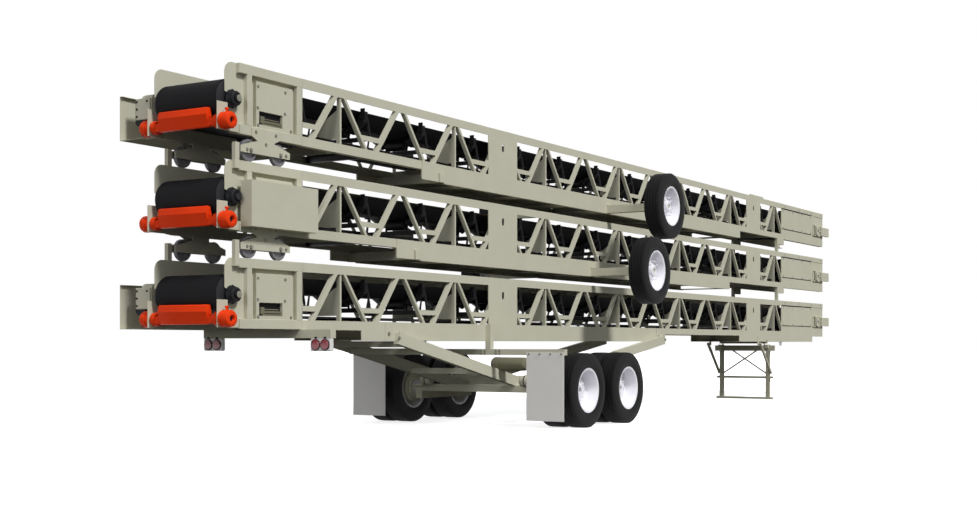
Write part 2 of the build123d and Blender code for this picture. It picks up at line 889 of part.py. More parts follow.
# Single wheel of an upper conveyor, tyre and dished rim
def build_upper_wheel(side, centre):
    x, z = station(centre), lowest_chord - axle_drop
    y = side * upper_wheel_centre
    half = tyre_width / 2 - rim_inset
    with BuildPart() as wheel:
        tyre(x, y, z)
        drum(x, z, y - half, y + half, rim_radius + weld_lap, rim_radius - rim_wall)
        disc = side * (upper_wheel_centre + disc_offset)
        drum(x, z, disc - rim_wall, disc + rim_wall, rim_radius - rim_wall + seat_gap, spindle + running_gap)
        hub_in, hub_out = side * (upper_axle_end + hub_clear), side * (upper_wheel_centre + spindle_past)
        drum(x, z, min(hub_in, hub_out), max(hub_in, hub_out), hub_radius, spindle + running_gap)
    return wheel


# Twin wheels of the axle group on one hub with its brake drum
def build_dual(side, x):
    z = tyre_radius
    with BuildPart() as wheel:
        for offset in (-dual_spacing / 2, dual_spacing / 2):
            tyre(x, side * (dual_centre + offset), z)
        reach = dual_spacing / 2 + tyre_width / 2 - rim_inset
        y0, y1 = sorted((side * (dual_centre - reach), side * (dual_centre + reach)))
        drum(x, z, y0, y1, rim_radius + weld_lap, rim_radius - rim_wall)
        disc = side * dual_centre
        drum(x, z, disc - rim_wall, disc + rim_wall, rim_radius - rim_wall + seat_gap, spindle + running_gap)
        hub_in, hub_out = side * (axle_tube_half + hub_clear), side * (dual_centre + spindle_past)
        drum(x, z, min(hub_in, hub_out), max(hub_in, hub_out), hub_radius, spindle + running_gap)
        brake_in = side * (axle_tube_half + hub_clear)
        drum(x, z, min(brake_in, disc), max(brake_in, disc), brake_radius, brake_radius - rim_wall)
    return wheel


# Bogies between two conveyors: plates on the upper chord with pins for the wheels
def build_bogies():
    top = lowest_chord
    pin_z = top - (stack_pitch - truss_height) + seat_gap + bogie_wheel
    first, last = bogie_stations
    with BuildPart() as bogies:
        for side in (-1, 1):
            for inner in (truss_half, bogie_inner):
                low_y = min(side * inner, side * (inner + bogie_plate_wall))
                with BuildSketch(upright(low_y)):
                    neck = bogie_neck / 2
                    centre = (first + last) / 2
                    right = [
                        (bogie_half, -bogie_plate_low),
                        (bogie_half, -bogie_end_drop),
                        (bogie_arm_half, -bogie_arm_drop),
                        (neck, -bogie_neck_drop),
                    ]
                    if inner == truss_half:
                        right += [(bogie_top_half, 0), (bogie_top_half, bogie_top)]
                    else:
                        right += [(neck, 0)]
                    left = [(-reach, rise) for reach, rise in reversed(right)]
                    polygon(*((centre + reach, rise) for reach, rise in right + left))
                extrude(amount=-bogie_plate_wall)
            y0, y1 = sorted((side * bogie_inner, side * (truss_half + bogie_plate_wall)))
            block(station(centre - neck), station(centre + neck), y0, y1, top - bogie_plate_wall, top)
            for place in bogie_stations:
                drum(station(place), pin_z, y0, y1, bogie_pin)
        # Rest posts at the tail, from the upper bottom chord to the lower top chord
        for side in (-1, 1):
            y0, y1 = sorted((side * (truss_half - rest_post), side * truss_half))
            gap_floor = top - (stack_pitch - truss_height)
            block(station(rest_station), station(rest_station + rest_post), y0, y1, gap_floor, top)
            block(station(rest_station), station(rest_station + rest_bracket), y0, y1, top - rest_depth, top)
    return bogies


def build_bogie_wheel(side, place):
    pin_z = lowest_chord - (stack_pitch - truss_height) + seat_gap + bogie_wheel
    centre = side * (bogie_inner + bogie_plate_wall + truss_half) / 2
    with BuildPart() as wheel:
        half = bogie_wheel_width / 2
        drum(station(place), pin_z, centre - half, centre + half, bogie_wheel, bogie_pin + running_gap)
    return wheel


def stand_pivot():
    """X and Z of the landing stand's hinge."""
    x = station(stand_station) - (stand_leg + stand_pivot_back) / 2
    return x, lowest_chord - beam_low - stand_drop - stand_leg / 2


# Chassis members under the bottom conveyor: side beams, front saddle, towing plate, rear lamp beam
def build_chassis():
    top, low = lowest_chord, lowest_chord - beam_low
    with BuildPart() as chassis:
        for side in (-1, 1):
            channel(station(beam_start), station(beam_end), side, low, top, fold_flange, fold_wall)
            channel(station(saddle_start), station(coupler_end), side, low, top, fold_flange, fold_wall)
            for place in (arm_rear_station, arm_front_station):
                y0, y1 = sorted((side * truss_half, side * (truss_half + lug_deep)))
                block(station(place) - lug_half, station(place) + lug_half, y0, y1, low, top + chord_leg)
            post_y = truss_half + seat_gap
            y0, y1 = sorted((side * post_y, side * (post_y + flap_post)))
            post_x = station(flap_station)
            block(post_x, post_x + flap_post, y0, y1, flap_beam_low + flap_post - weld_lap, top + chord_leg)
        inner = truss_half - fold_flange - seat_gap
        for place in (beam_start, beam_end - fold_plate, saddle_start, saddle_end - fold_plate):
            block(station(place), station(place) + fold_plate, -inner, inner, low, low + fold_wall)
        block(station(coupler_start), station(coupler_end), -inner, inner, low, low + chord_wall)
        with BuildSketch(Plane.XY.offset(low)):
            with Locations((station(kingpin_station), 0)):
                Circle(pin_shoulder + seat_gap)
        extrude(amount=chord_wall, mode=Mode.SUBTRACT)
        pivot_x, pivot_z = stand_pivot()
        inner_y = stand_leg_y - stand_leg / 2 - notch_gap
        for side in (-1, 1):
            y0, y1 = sorted((side * (inner_y - hanger_wall), side * inner_y))
            block(pivot_x - hanger_half, pivot_x + hanger_half, y0, y1, pivot_z - hanger_half, low)
            y0, y1 = sorted((side * (inner_y - hanger_wall), side * (stand_leg_y + stand_leg / 2)))
            drum(pivot_x, pivot_z, y0, y1, stand_pin)
            brace_x = station(brace_station)
            y0, y1 = sorted((side * truss_half, side * (truss_half + lug_deep)))
            block(brace_x - brace_lug, brace_x + brace_lug, y0, y1, brace_top - brace_high / 2, top)
            y0, y1 = sorted((side * truss_half, side * (brace_centre + brace_wide / 2 + notch_gap)))
            drum(brace_x, brace_top, y0, y1, brace_pin)
        flap_x = station(flap_station)
        block(flap_x, flap_x + flap_post, -flap_out, flap_out, flap_beam_low, flap_beam_low + flap_post)
        lamp_x = station(lamp_station)
        block(lamp_x, lamp_x + lamp_beam, -lamp_out, lamp_out, top - lamp_beam, top)
    return chassis


# Towing pin, held in the front plate by its shoulder and head
def build_kingpin():
    x, z = station(kingpin_station), lowest_chord - beam_low
    with BuildPart() as kingpin:
        level = z + chord_wall + pin_head_wall
        for radius, length in (
            (pin_head, pin_head_wall),
            (pin_shoulder, chord_wall),
            (pin_collar, pin_collar_length),
            (pin_neck, pin_neck_length),
            (pin_flange, pin_flange_length),
        ):
            with BuildSketch(Plane.XY.offset(level - length)):
                with Locations((x, 0)):
                    Circle(radius)
            extrude(amount=length)
            level -= length
    return kingpin


# Undercarriage of the stack: arms down to the cross tube, with the air tank
def build_wheel_frame():
    arm_y = truss_half + lug_deep + seat_gap + arm_wide / 2
    middle = rear_axle_station + axle_spacing / 2
    with BuildPart() as frame:
        x = station(middle)
        block(
            x - cross_tube,
            x + cross_tube,
            -cross_tube_half,
            cross_tube_half,
            cross_tube_rise - cross_tube,
            cross_tube_rise + cross_tube,
        )
        for side in (-1, 1):
            for place, toward, end_z in (
                (arm_rear_station, -1, arm_rear_low),
                (arm_front_station, 1, arm_front_low),
            ):
                start = (station(place), side * arm_y, lowest_chord - arm_drop)
                end = (x + toward * (cross_tube - weld_lap), side * arm_y, end_z)
                strut(start, end, arm_wide, arm_high)
        for place in (rear_axle_station, rear_axle_station + axle_spacing):
            half = axle_tube + seat_gap
            block(
                station(place) - half,
                station(place) + half,
                -cross_tube_half,
                cross_tube_half,
                0,
                tyre_radius + half,
                mode=Mode.SUBTRACT,
            )
        for share in arm_brace_shares:
            brace_x = station(arm_rear_station) + share * (x - station(arm_rear_station))
            brace_z = lowest_chord - arm_drop + share * (arm_rear_low - lowest_chord + arm_drop) - arm_brace_drop
            strut((brace_x, -arm_y, brace_z), (brace_x, arm_y, brace_z), arm_wide, arm_wide)
    return frame


# Two axles with spindles on walking beams
def build_axles():
    middle = station(rear_axle_station + axle_spacing / 2)
    with BuildPart() as axles:
        for place in (rear_axle_station, rear_axle_station + axle_spacing):
            x = station(place)
            block(
                x - axle_tube,
                x + axle_tube,
                -axle_tube_half,
                axle_tube_half,
                tyre_radius - axle_tube,
                tyre_radius + axle_tube,
            )
            reach = dual_centre + spindle_past
            drum(x, tyre_radius, -reach, reach, spindle)
        for side in (-1, 1):
            y0, y1 = sorted((side * walking_inner, side * walking_outer))
            half = axle_spacing / 2 + axle_tube
            block(
                middle - half,
                middle + half,
                y0,
                y1,
                tyre_radius - axle_tube - walking_beam,
                tyre_radius - axle_tube + weld_lap,
            )
            block(
                middle - cross_tube,
                middle + cross_tube,
                y0,
                y1,
                tyre_radius - axle_tube,
                cross_tube_rise - cross_tube,
            )
    return axles


# Mud flaps behind the rear tyres
def build_mud_flaps():
    x = station(flap_station)
    with BuildPart() as flaps:
        for side in (-1, 1):
            y0, y1 = sorted((side * flap_inner, side * flap_out))
            block(x - flap_wall, x, y0, y1, flap_low, flap_beam_low + flap_post)
    return flaps


# Rear lamps hung from their beam
def build_lamps():
    x = station(lamp_station)
    with BuildPart() as lamps:
        for side in (-1, 1):
            y0, y1 = sorted((side * (lamp_out - lamp_box), side * lamp_out))
            top = lowest_chord - lamp_beam
            block(x, x + lamp_deep, y0, y1, top - lamp_high, top)
            for place in (lamp_box / 4, 3 * lamp_box / 4):
                with BuildSketch(section(x, top - lamp_high / 2)):
                    with Locations((y0 + place, 0)):
                        Circle(lamp_lens)
                extrude(amount=-lamp_lens_deep)
    return lamps


# Landing stand: two legs, cross beams and crossed rods, hinged at the top
def build_stand():
    x = station(stand_station)
    top = lowest_chord - beam_low - stand_drop
    half = stand_leg / 2
    with BuildPart() as stand:
        for side in (-1, 1):
            y = side * stand_leg_y
            block(x - half, x + half, y - half, y + half, stand_foot_wall, top)
            lug_y0, lug_y1 = y - half, y + half
            block(x - half - stand_pivot_back, x, lug_y0, lug_y1, top - stand_leg, top)
        for rise, wide, high in (
            (0, stand_foot_half, stand_foot_wall),
            (stand_bar_rise, stand_foot_half, stand_bar),
            (stand_beam_rise, stand_beam_half, stand_beam_high),
        ):
            block(x - stand_bar, x + stand_bar, -wide, wide, rise, rise + high)
        for side in (-1, 1):
            y = side * (stand_leg_y - half / 2)
            rod((x, y, stand_bar_rise + stand_bar), (x, -y, stand_beam_rise + weld_lap), cross_rod)
        pivot_x, pivot_z = stand_pivot()
        reach = stand_leg_y + stand_leg
        drum(pivot_x, pivot_z, -reach, reach, stand_pin + running_gap, mode=Mode.SUBTRACT)
    return stand


def build_brace(side):
    x = station(stand_station)
    y = side * brace_centre
    with BuildPart() as brace:
        start = (station(brace_station), y, brace_top)
        end = (x, y, brace_low)
        strut(start, end, brace_wide, brace_high)
        for spot in (start, end):
            drum(spot[0], spot[2], y - brace_wide / 2, y + brace_wide / 2, brace_high / 2 + weld_lap)
            bore = brace_pin + running_gap
            drum(spot[0], spot[2], y - brace_wide, y + brace_wide, bore, mode=Mode.SUBTRACT)
    return brace


truss_right = build_truss()
truss_left = mirrored(truss_right)
cross_members = build_cross_members()
belt = build_belt()
trough_idler = build_trough_idler()
return_idler = build_return_idler()
scraper = build_scraper()
cover = build_cover()
driven = build_drive(True)
plain = build_drive(False)
shaft_free = chord_inner + bearing_deep + plate_wall
shaft_driven = chord_inner + bearing_deep + reducer_deep + drive_gap + sheave_width
driven_rollers = build_rollers(shaft_driven, shaft_free, trough_idler, return_idler)
plain_rollers = build_rollers(shaft_free, shaft_free, trough_idler, return_idler)
for level, name in enumerate(levels):
    rise = level * stack_pitch
    left_drive = name != "middle"
    save(lifted(truss_right, rise), f"{name}_truss_right")
    save(lifted(truss_left, rise), f"{name}_truss_left")
    save(lifted(cross_members, rise), f"{name}_cross_members")
    save(lifted(belt, rise), f"{name}_belt")
    save(lifted(scraper, rise), f"{name}_belt_cleaner")
    save(lifted(driven_rollers if left_drive else plain_rollers, rise), f"{name}_rollers")
    save(lifted(driven if left_drive else plain, rise), f"{name}_drive")
    save(lifted(build_guard(name in fold_station) if left_drive else cover, rise), f"{name}_guard")

bogies = build_bogies()
for level, name in enumerate(levels):
    if name in fold_station:
        rise = level * stack_pitch
        save(lifted(build_undercarriage(fold_station[name]), rise), f"{name}_undercarriage")
        save(lifted(bogies, rise), f"{name}_bogies")
        for side, hand in ((-1, "right"), (1, "left")):
            save(lifted(build_upper_wheel(side, fold_station[name]), rise), f"{name}_wheel_{hand}")
            for place, end in zip(bogie_stations, ("rear", "front")):
                roller = build_bogie_wheel(side, place)
                save(lifted(roller, rise), f"{name}_bogie_wheel_{end}_{hand}")

for side, hand in ((-1, "right"), (1, "left")):
    for end, place in (("rear", rear_axle_station), ("front", rear_axle_station + axle_spacing)):
        save(build_dual(side, station(place)), f"road_wheels_{end}_{hand}")
    save(build_brace(side), f"stand_brace_{hand}")

save(build_chassis(), "chassis_beams")
save(build_kingpin(), "kingpin")
save(build_wheel_frame(), "wheel_frame")
save(build_axles(), "axles")
save(build_mud_flaps(), "mud_flaps")
save(build_lamps(), "rear_lamps")
save(build_stand(), "landing_stand")
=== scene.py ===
"""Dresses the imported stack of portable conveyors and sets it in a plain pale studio."""

import logging
from dataclasses import dataclass
from enum import Enum
from math import cos, pi, radians, sin, tau

import bmesh
import bpy
from mathutils import Matrix, Vector


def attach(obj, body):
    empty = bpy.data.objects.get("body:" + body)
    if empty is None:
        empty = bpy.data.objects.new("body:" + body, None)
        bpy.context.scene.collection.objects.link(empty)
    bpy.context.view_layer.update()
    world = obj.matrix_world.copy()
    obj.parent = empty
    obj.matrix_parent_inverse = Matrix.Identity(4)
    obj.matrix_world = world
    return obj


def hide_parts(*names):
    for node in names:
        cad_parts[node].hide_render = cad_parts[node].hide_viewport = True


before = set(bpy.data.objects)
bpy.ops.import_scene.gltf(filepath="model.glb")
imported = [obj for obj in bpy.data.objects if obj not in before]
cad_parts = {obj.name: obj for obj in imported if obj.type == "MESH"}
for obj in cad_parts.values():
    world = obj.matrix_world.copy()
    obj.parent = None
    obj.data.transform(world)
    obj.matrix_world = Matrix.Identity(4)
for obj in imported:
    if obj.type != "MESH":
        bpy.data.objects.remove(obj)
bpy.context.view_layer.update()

LOG = logging.getLogger("conveyor")
Mesh = bmesh.types.BMesh
Pair = tuple[float, float]
Point = tuple[float, float, float]

LEVELS = ("bottom", "middle", "top")
# Which way each side lies along Y.
HANDS = {"right": -1.0, "left": 1.0}
# X of station zero, the height of the bottom conveyor's chord and the distance between conveyors.
HEAD_X = -9.935
LOWEST_CHORD = 1.295
STACK_PITCH = 1.020
# Stations of the two road axles, their height and the distance of a pair of wheels from the middle.
AXLES = {"rear": 5.830, "front": 7.075}
AXLE_HEIGHT = 0.507
ROAD_WHEEL_OUT = 1.430
# Stations of the folded undercarriages' axles, their drop below the chord and their wheels' distance.
FOLDED_AXLES = {"middle": 8.300, "top": 8.850}
FOLDED_DROP = 0.070
FOLDED_WHEEL_OUT = 1.480


# ---------------------------------------------------------------- helpers


def linear(code: str) -> tuple[float, float, float, float]:
    """Turns an sRGB hex value into a linear colour.

    Args:
        code: The colour as "#rrggbb".

    Returns:
        Red, green, blue and an alpha of one.
    """
    parts = [int(code[i : i + 2], 16) / 255 for i in (1, 3, 5)]
    red, green, blue = (p / 12.92 if p <= 0.04045 else ((p + 0.055) / 1.055) ** 2.4 for p in parts)
    return red, green, blue, 1.0


def node(
    tree: bpy.types.NodeTree, kind: str, settings: dict | None = None, links: dict | None = None
) -> bpy.types.Node:
    """Adds one node to a tree.

    Args:
        tree: The node tree.
        kind: The node's type name.
        settings: Attribute or input names and their values.
        links: Input names and the output sockets that feed them.

    Returns:
        The new node.
    """
    made = tree.nodes.new(kind)
    for name, value in (settings or {}).items():
        if hasattr(made, name):
            setattr(made, name, value)
        else:
            made.inputs[name].default_value = value
    for name, source in (links or {}).items():
        tree.links.new(source, made.inputs[name])
    return made


def station(distance: float) -> float:
    """Gives the X of a distance ahead of the head plates' rear edge.

    Args:
        distance: The distance, called a station here.

    Returns:
        The X in the shared frame.
    """
    return HEAD_X + distance


def chord(level: str) -> float:
    """Gives the height of the underside of a conveyor's lower chord.

    Args:
        level: The conveyor.

    Returns:
        The height over the ground.
    """
    return LOWEST_CHORD + STACK_PITCH * LEVELS.index(level)


# ---------------------------------------------------------------- finishes


class Facing(Enum):
    """The direction along which a round piece runs."""

    ALONG = (1.0, 0.0, 0.0)
    ACROSS = (0.0, 1.0, 0.0)
    UP = (0.0, 0.0, 1.0)


@dataclass(frozen=True)
class Finish:
    """One surface finish, drawn with nodes on Object coordinates.

    Attributes:
        name: The material's name, after the real finish.
        slot: The record's material slot; not used here.
        colour: Its colour as sRGB hex.
        shade: A second colour that mottling mixes in.
        roughness: The shader's roughness at its middle.
        metallic: How metallic it is.
        grain_mm: Size of the fine surface texture in millimetres.
        depth_mm: Height of that texture in millimetres.
        mottle_mm: Size of the slow colour variation in millimetres.
        mottle: How much of the second colour is mixed in at most.
        coat: Strength of a clear coat.
        specular: The specular level.
    """

    name: str
    slot: str
    colour: str
    shade: str
    roughness: float
    metallic: float = 0.0
    grain_mm: float = 3.0
    depth_mm: float = 0.05
    mottle_mm: float = 400.0
    mottle: float = 0.25
    coat: float = 0.0
    specular: float = 0.5

    def material(self) -> bpy.types.Material:
        """Builds the material once and gives it back after that.

        Returns:
            The material with this finish's name.
        """
        if self.name in bpy.data.materials:
            return bpy.data.materials[self.name]
        made = bpy.data.materials.new(self.name)
        made.use_nodes = True
        tree = made.node_tree
        tree.nodes.clear()
        place = {"Vector": node(tree, "ShaderNodeTexCoord").outputs["Object"]}
        slow, fine = (
            node(tree, "ShaderNodeTexNoise", {"Scale": 1000.0 / size, "Detail": fold, "Roughness": gain}, place)
            for size, fold, gain in ((self.mottle_mm, 4.0, 0.6), (self.grain_mm, 3.0, 0.5))
        )
        amount, rough = (
            node(
                tree,
                "ShaderNodeMapRange",
                {"From Min": start, "From Max": stop, "To Min": low, "To Max": high},
                {"Value": slow.outputs["Fac"]},
            )
            for start, stop, low, high in (
                (0.35, 0.75, 0.0, self.mottle),
                (0.2, 0.8, self.roughness - 0.06, self.roughness + 0.08),
            )
        )
        colour = node(tree, "ShaderNodeMix", {"data_type": "RGBA"})
        colour.inputs[6].default_value = linear(self.colour)
        colour.inputs[7].default_value = linear(self.shade)
        tree.links.new(amount.outputs["Result"], colour.inputs[0])
        relief = {"Strength": 0.6, "Distance": self.depth_mm / 1000.0}
        bump = node(tree, "ShaderNodeBump", relief, {"Height": fine.outputs["Fac"]})
        shader = node(
            tree,
            "ShaderNodeBsdfPrincipled",
            {
                "Metallic": self.metallic,
                "Coat Weight": self.coat,
                "Coat Roughness": 0.15,
                "Specular IOR Level": self.specular,
            },
            {
                "Base Color": colour.outputs[2],
                "Roughness": rough.outputs["Result"],
                "Normal": bump.outputs["Normal"],
            },
        )
        node(tree, "ShaderNodeOutputMaterial", {}, {"Surface": shader.outputs["BSDF"]})
        return made


# Alkyd machinery enamel sprayed on steel: khaki grey, so evenly matt that it shows no highlight.
PAINT = Finish(
    "matt_machinery_enamel", "paint", "#CAC8B4", "#BCB9A4", 0.7,
    grain_mm=4.0, depth_mm=0.04, mottle=0.35, specular=0.0,
)
# The same enamel on the landing stand and its braces, darkened both by dust and by painted shade of the space
# under the conveyors.
PAINT_DUST_AND_SHADE = Finish(
    "dust_and_painted_shade_enamel", "paint", "#B5B39E", "#A6A38D", 0.7,
    grain_mm=4.0, depth_mm=0.05, mottle=0.5, specular=0.0,
)
# The enamel of the air tank and the window latches, darkened to a grey-brown: painted shade.
PAINT_SHADE = Finish(
    "shade_painted_enamel", "paint", "#7F7D69", "#716F5B", 0.66,
    grain_mm=4.0, depth_mm=0.06, mottle=0.6, specular=0.0,
)
# Vulcanised conveyor belting: deep grey-black with a fine cloth imprint. The same black paints shade in the
# strips along the tail panels' edges and the sheets behind the head windows.
BELTING_AND_SHADE = Finish(
    "vulcanised_belting_and_painted_shade", "belt", "#101012", "#18181B", 0.75,
    grain_mm=5.0, depth_mm=0.25, mottle=0.6, specular=0.12,
)
# Road tyre compound: carbon-black rubber, matt with a slight sheen on the side walls.
TYRE = Finish(
    "carbon_black_tyre_rubber", "tyre", "#121213", "#1B1B1D", 0.75,
    grain_mm=6.0, depth_mm=0.2, mottle=0.5, specular=0.16,
)
# Cast polyurethane of the belt cleaner: saturated orange, softly glossy.
POLYURETHANE = Finish(
    "cast_polyurethane", "cleaner", "#EE4010", "#DA360A", 0.5,
    grain_mm=8.0, depth_mm=0.05, mottle=0.5, specular=0.1,
)
# Stoved black enamel on idler rolls: dark, smooth and a little shiny.
ROLL_ENAMEL = Finish(
    "stoved_black_enamel", "roller", "#29292C", "#202023", 0.5,
    grain_mm=3.0, depth_mm=0.02, mottle=0.4, specular=0.2,
)
# Painted iron castings of bearings and motors: blue-black, finely grained.
CASTING = Finish(
    "painted_iron_casting", "drive", "#101216", "#1A1D22", 0.62,
    grain_mm=2.5, depth_mm=0.3, mottle=0.5, specular=0.18,
)
# Turned steel of the kingpin: bare metal with a fine lathe texture.
TURNED_STEEL = Finish(
    "turned_steel", "steel", "#B9B9BE", "#9C9CA3", 0.32,
    metallic=1.0, grain_mm=1.5, depth_mm=0.03,
)
# Zinc-plated bolt heads: pale bare metal, dulled so that it reads at this size.
ZINC = Finish(
    "zinc_plated_steel", "steel", "#8A897D", "#75746A", 0.5,
    metallic=0.25, grain_mm=1.5, depth_mm=0.02, specular=0.3,
)
# Steel of the small running wheels, worn grey where they roll.
WHEEL_STEEL = Finish(
    "worn_wheel_steel", "steel", "#77767A", "#66656A", 0.5,
    metallic=0.2, grain_mm=2.0, depth_mm=0.04, mottle=0.6, specular=0.3,
)
# Moulded ABS of the lamp housings: pale grey, softly glossy.
LAMP_SHELL = Finish(
    "moulded_abs_shell", "flap", "#E2E1E0", "#D6D5D4", 0.45,
    grain_mm=3.0, depth_mm=0.03,
)
# Powder-coated steel rims: near white with a soft shine.
RIM_WHITE = Finish(
    "powder_coated_rim", "paint", "#F4F3F8", "#E6E4EC", 0.4,
    grain_mm=3.0, depth_mm=0.02, mottle=0.4,
)
# Extruded polymer sheet of the mud flaps: light grey, matt with a faint linen texture.
FLAP_SHEET = Finish(
    "extruded_polymer_sheet", "flap", "#E6E4E1", "#DBD9D6", 0.6,
    grain_mm=6.0, depth_mm=0.1, mottle=0.4,
)
# Moulded acrylic lens: deep red with a glossy face.
LENS = Finish(
    "moulded_red_acrylic", "lamp", "#96343F", "#83303C", 0.18,
    grain_mm=5.0, depth_mm=0.2, mottle=0.5, coat=0.4,
)


# ---------------------------------------------------------------- mesh work


def finish_piece(
    name: str, mesh: Mesh, finish: Finish, body: str = "frame", smooth: float = 35.0
) -> bpy.types.Object:
    """Turns a bmesh into an object at the origin that rides on a body.

    Args:
        name: The piece's name.
        mesh: The finished bmesh, in place.
        finish: The finish of all its faces.
        body: The body it rides on.
        smooth: Edges sharper than this many degrees stay sharp.

    Returns:
        The new object.
    """
    bmesh.ops.remove_doubles(mesh, verts=mesh.verts, dist=1e-6)
    bmesh.ops.recalc_face_normals(mesh, faces=mesh.faces)
    for face in mesh.faces:
        face.smooth = True
    for edge in mesh.edges:
        edge.smooth = edge.is_manifold and edge.calc_face_angle(0.0) < radians(smooth)
    data = bpy.data.meshes.new(name)
    mesh.to_mesh(data)
    mesh.free()
    made = bpy.data.objects.new(name, data)
    bpy.context.scene.collection.objects.link(made)
    made.data.materials.append(finish.material())
    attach(made, body)
    LOG.info("%s: %d faces on %s", name, len(data.polygons), body)
    return made


def soften(mesh: Mesh, edges: list[bmesh.types.BMEdge], width: float, steps: int = 1) -> None:
    """Bevels edges.

    Args:
        mesh: The bmesh.
        edges: The edges.
        width: Width of the bevel.
        steps: Faces across it.
    """
    bmesh.ops.bevel(mesh, geom=edges, offset=width, segments=steps, affect="EDGES", profile=0.5, material=-1)


def ring_loop(mesh: Mesh, points: list[Pair], centre: Vector, turns: int, side: float = 1.0) -> None:
    """Spins an outline of (radius, along) points about an axle along Y.

    Args:
        mesh: The bmesh that receives the shape.
        points: Radius and place along the axle of each corner of a closed outline.
        centre: A point on the axle, from which the places are counted.
        turns: Number of steps round the circle.
        side: One, or minus one to mirror the places along the axle.
    """
    ring = [mesh.verts.new((centre.x, centre.y + side * along, centre.z + radius)) for radius, along in points]
    edges = [mesh.edges.new((ring[i], ring[(i + 1) % len(ring)])) for i in range(len(ring))]
    bmesh.ops.spin(
        mesh,
        geom=ring + edges,
        cent=centre,
        axis=(0, 1, 0),
        angle=tau,
        steps=turns,
        use_merge=True,
        use_duplicate=False,
    )


def circle(centre: Vector, radius: float, along: float, count: int, turn: float = 0.5) -> list[Vector]:
    """Gives evenly spaced places round an axle along Y.

    Args:
        centre: A point on the axle.
        radius: Their distance from the axle.
        along: Their place along the axle from the centre.
        count: Number of places.
        turn: Share of a step by which the first is turned.

    Returns:
        The places.
    """
    angles = [tau * (i + turn) / count for i in range(count)]
    return [centre + Vector((radius * cos(angle), along, radius * sin(angle))) for angle in angles]


def span(side: float, near: float, far: float) -> Pair:
    """Gives the low and high Y of a stretch on one side of the machine.

    Args:
        side: One for the left, minus one for the right.
        near: Distance of one end from the middle.
        far: Distance of the other end from the middle.

    Returns:
        The low end and the high end.
    """
    low, high = sorted((side * near, side * far))
    return low, high


def block(mesh: Mesh, place: Matrix, edge: float) -> None:
    """Adds a cube of size one, moved and scaled by a matrix.

    Args:
        mesh: The bmesh that receives it.
        place: The matrix.
        edge: Width of the softened edges, or zero.
    """
    made = bmesh.ops.create_cube(mesh, size=1.0, matrix=place)
    if edge > 0:
        soften(mesh, list({link for vert in made["verts"] for link in vert.link_edges}), edge)


def box(mesh: Mesh, x: Pair, y: Pair, z: Pair, edge: float = 0.002) -> None:
    """Adds a plate or bar with softened edges.

    Args:
        mesh: The bmesh that receives it.
        x: Its low and high X.
        y: Its low and high Y.
        z: Its low and high Z.
        edge: Width of the softened edges, or zero.
    """
    middle = [(low + high) / 2 for low, high in (x, y, z)]
    size = [abs(high - low) for low, high in (x, y, z)]
    block(mesh, Matrix.Translation(middle) @ Matrix.Diagonal((*size, 1.0)), edge)


def side_box(mesh: Mesh, floor: float, side: float, s: Pair, reach: Pair, v: Pair, edge: float = 0.002) -> None:
    """Adds a plate or bar on one side of the machine.

    Args:
        mesh: The bmesh that receives it.
        floor: The height from which its heights count.
        side: One for the left, minus one for the right.
        s: Its first and last station.
        reach: Its inner and outer distance from the middle.
        v: Its low and high height over the floor.
        edge: Width of the softened edges, or zero.
    """
    box(mesh, (station(s[0]), station(s[1])), span(side, *reach), (floor + v[0], floor + v[1]), edge)


def beam(mesh: Mesh, start: Point, stop: Point, wide: float, high: float) -> None:
    """Adds a straight bar of rectangular section between two points.

    Args:
        mesh: The bmesh that receives it.
        start: The middle of one end.
        stop: The middle of the other end.
        wide: Its width, level.
        high: Its height across its length.
    """
    line = Vector(stop) - Vector(start)
    turn = line.to_track_quat("X", "Z").to_matrix().to_4x4()
    place = Matrix.Translation((Vector(start) + Vector(stop)) / 2) @ turn
    block(mesh, place @ Matrix.Diagonal((line.length, wide, high, 1.0)), 0.003)


def drum(
    mesh: Mesh, start: Point, facing: Facing, length: float, radius: float, steps: int = 24, edge: float = 0.0
) -> None:
    """Adds a round bar or disc, its rims softened.

    Args:
        mesh: The bmesh that receives it.
        start: The middle of one end.
        facing: The direction of its axis.
        length: Its length, negative against the direction.
        radius: Its radius.
        steps: Sides of its outline.
        edge: Width of the softened rims, or zero.
    """
    axis = Vector(facing.value)
    turn = axis.to_track_quat("Z", "Y").to_matrix().to_4x4()
    place = Matrix.Translation(Vector(start) + axis * length / 2) @ turn
    made = bmesh.ops.create_cone(
        mesh, cap_ends=True, segments=steps, radius1=radius, radius2=radius, depth=abs(length), matrix=place
    )
    if edge > 0:
        rims = [
            link
            for link in {link for vert in made["verts"] for link in vert.link_edges}
            if abs((link.verts[0].co - link.verts[1].co).dot(axis)) < abs(length) / 2
        ]
        soften(mesh, rims, edge, 3)


def bolt(mesh: Mesh, place: Point, facing: Facing, out: float, size: float = 0.012) -> None:
    """Adds a hexagon head on its washer.

    Args:
        mesh: The bmesh that receives it.
        place: Where the washer lies.
        facing: The direction of the bolt.
        out: One or minus one, towards the free side.
        size: Radius of the head.
    """
    drum(mesh, place, facing, out * 0.25 * size, 1.45 * size, 16)
    drum(mesh, place, facing, out * 0.95 * size, size, 6)


def side_bolts(
    mesh: Mesh, floor: float, side: float, reach: float, spots: tuple[Pair, ...], size: float = 0.012
) -> None:
    """Adds bolts that face outwards on one side of the machine.

    Args:
        mesh: The bmesh that receives them.
        floor: The height from which their heights count.
        side: One for the left, minus one for the right.
        reach: Distance of the face that they sit on from the middle.
        spots: Station and height over the floor of each bolt.
        size: Radius of their heads.
    """
    for s, v in spots:
        bolt(mesh, (station(s), side * reach, floor + v), Facing.ACROSS, side, size)


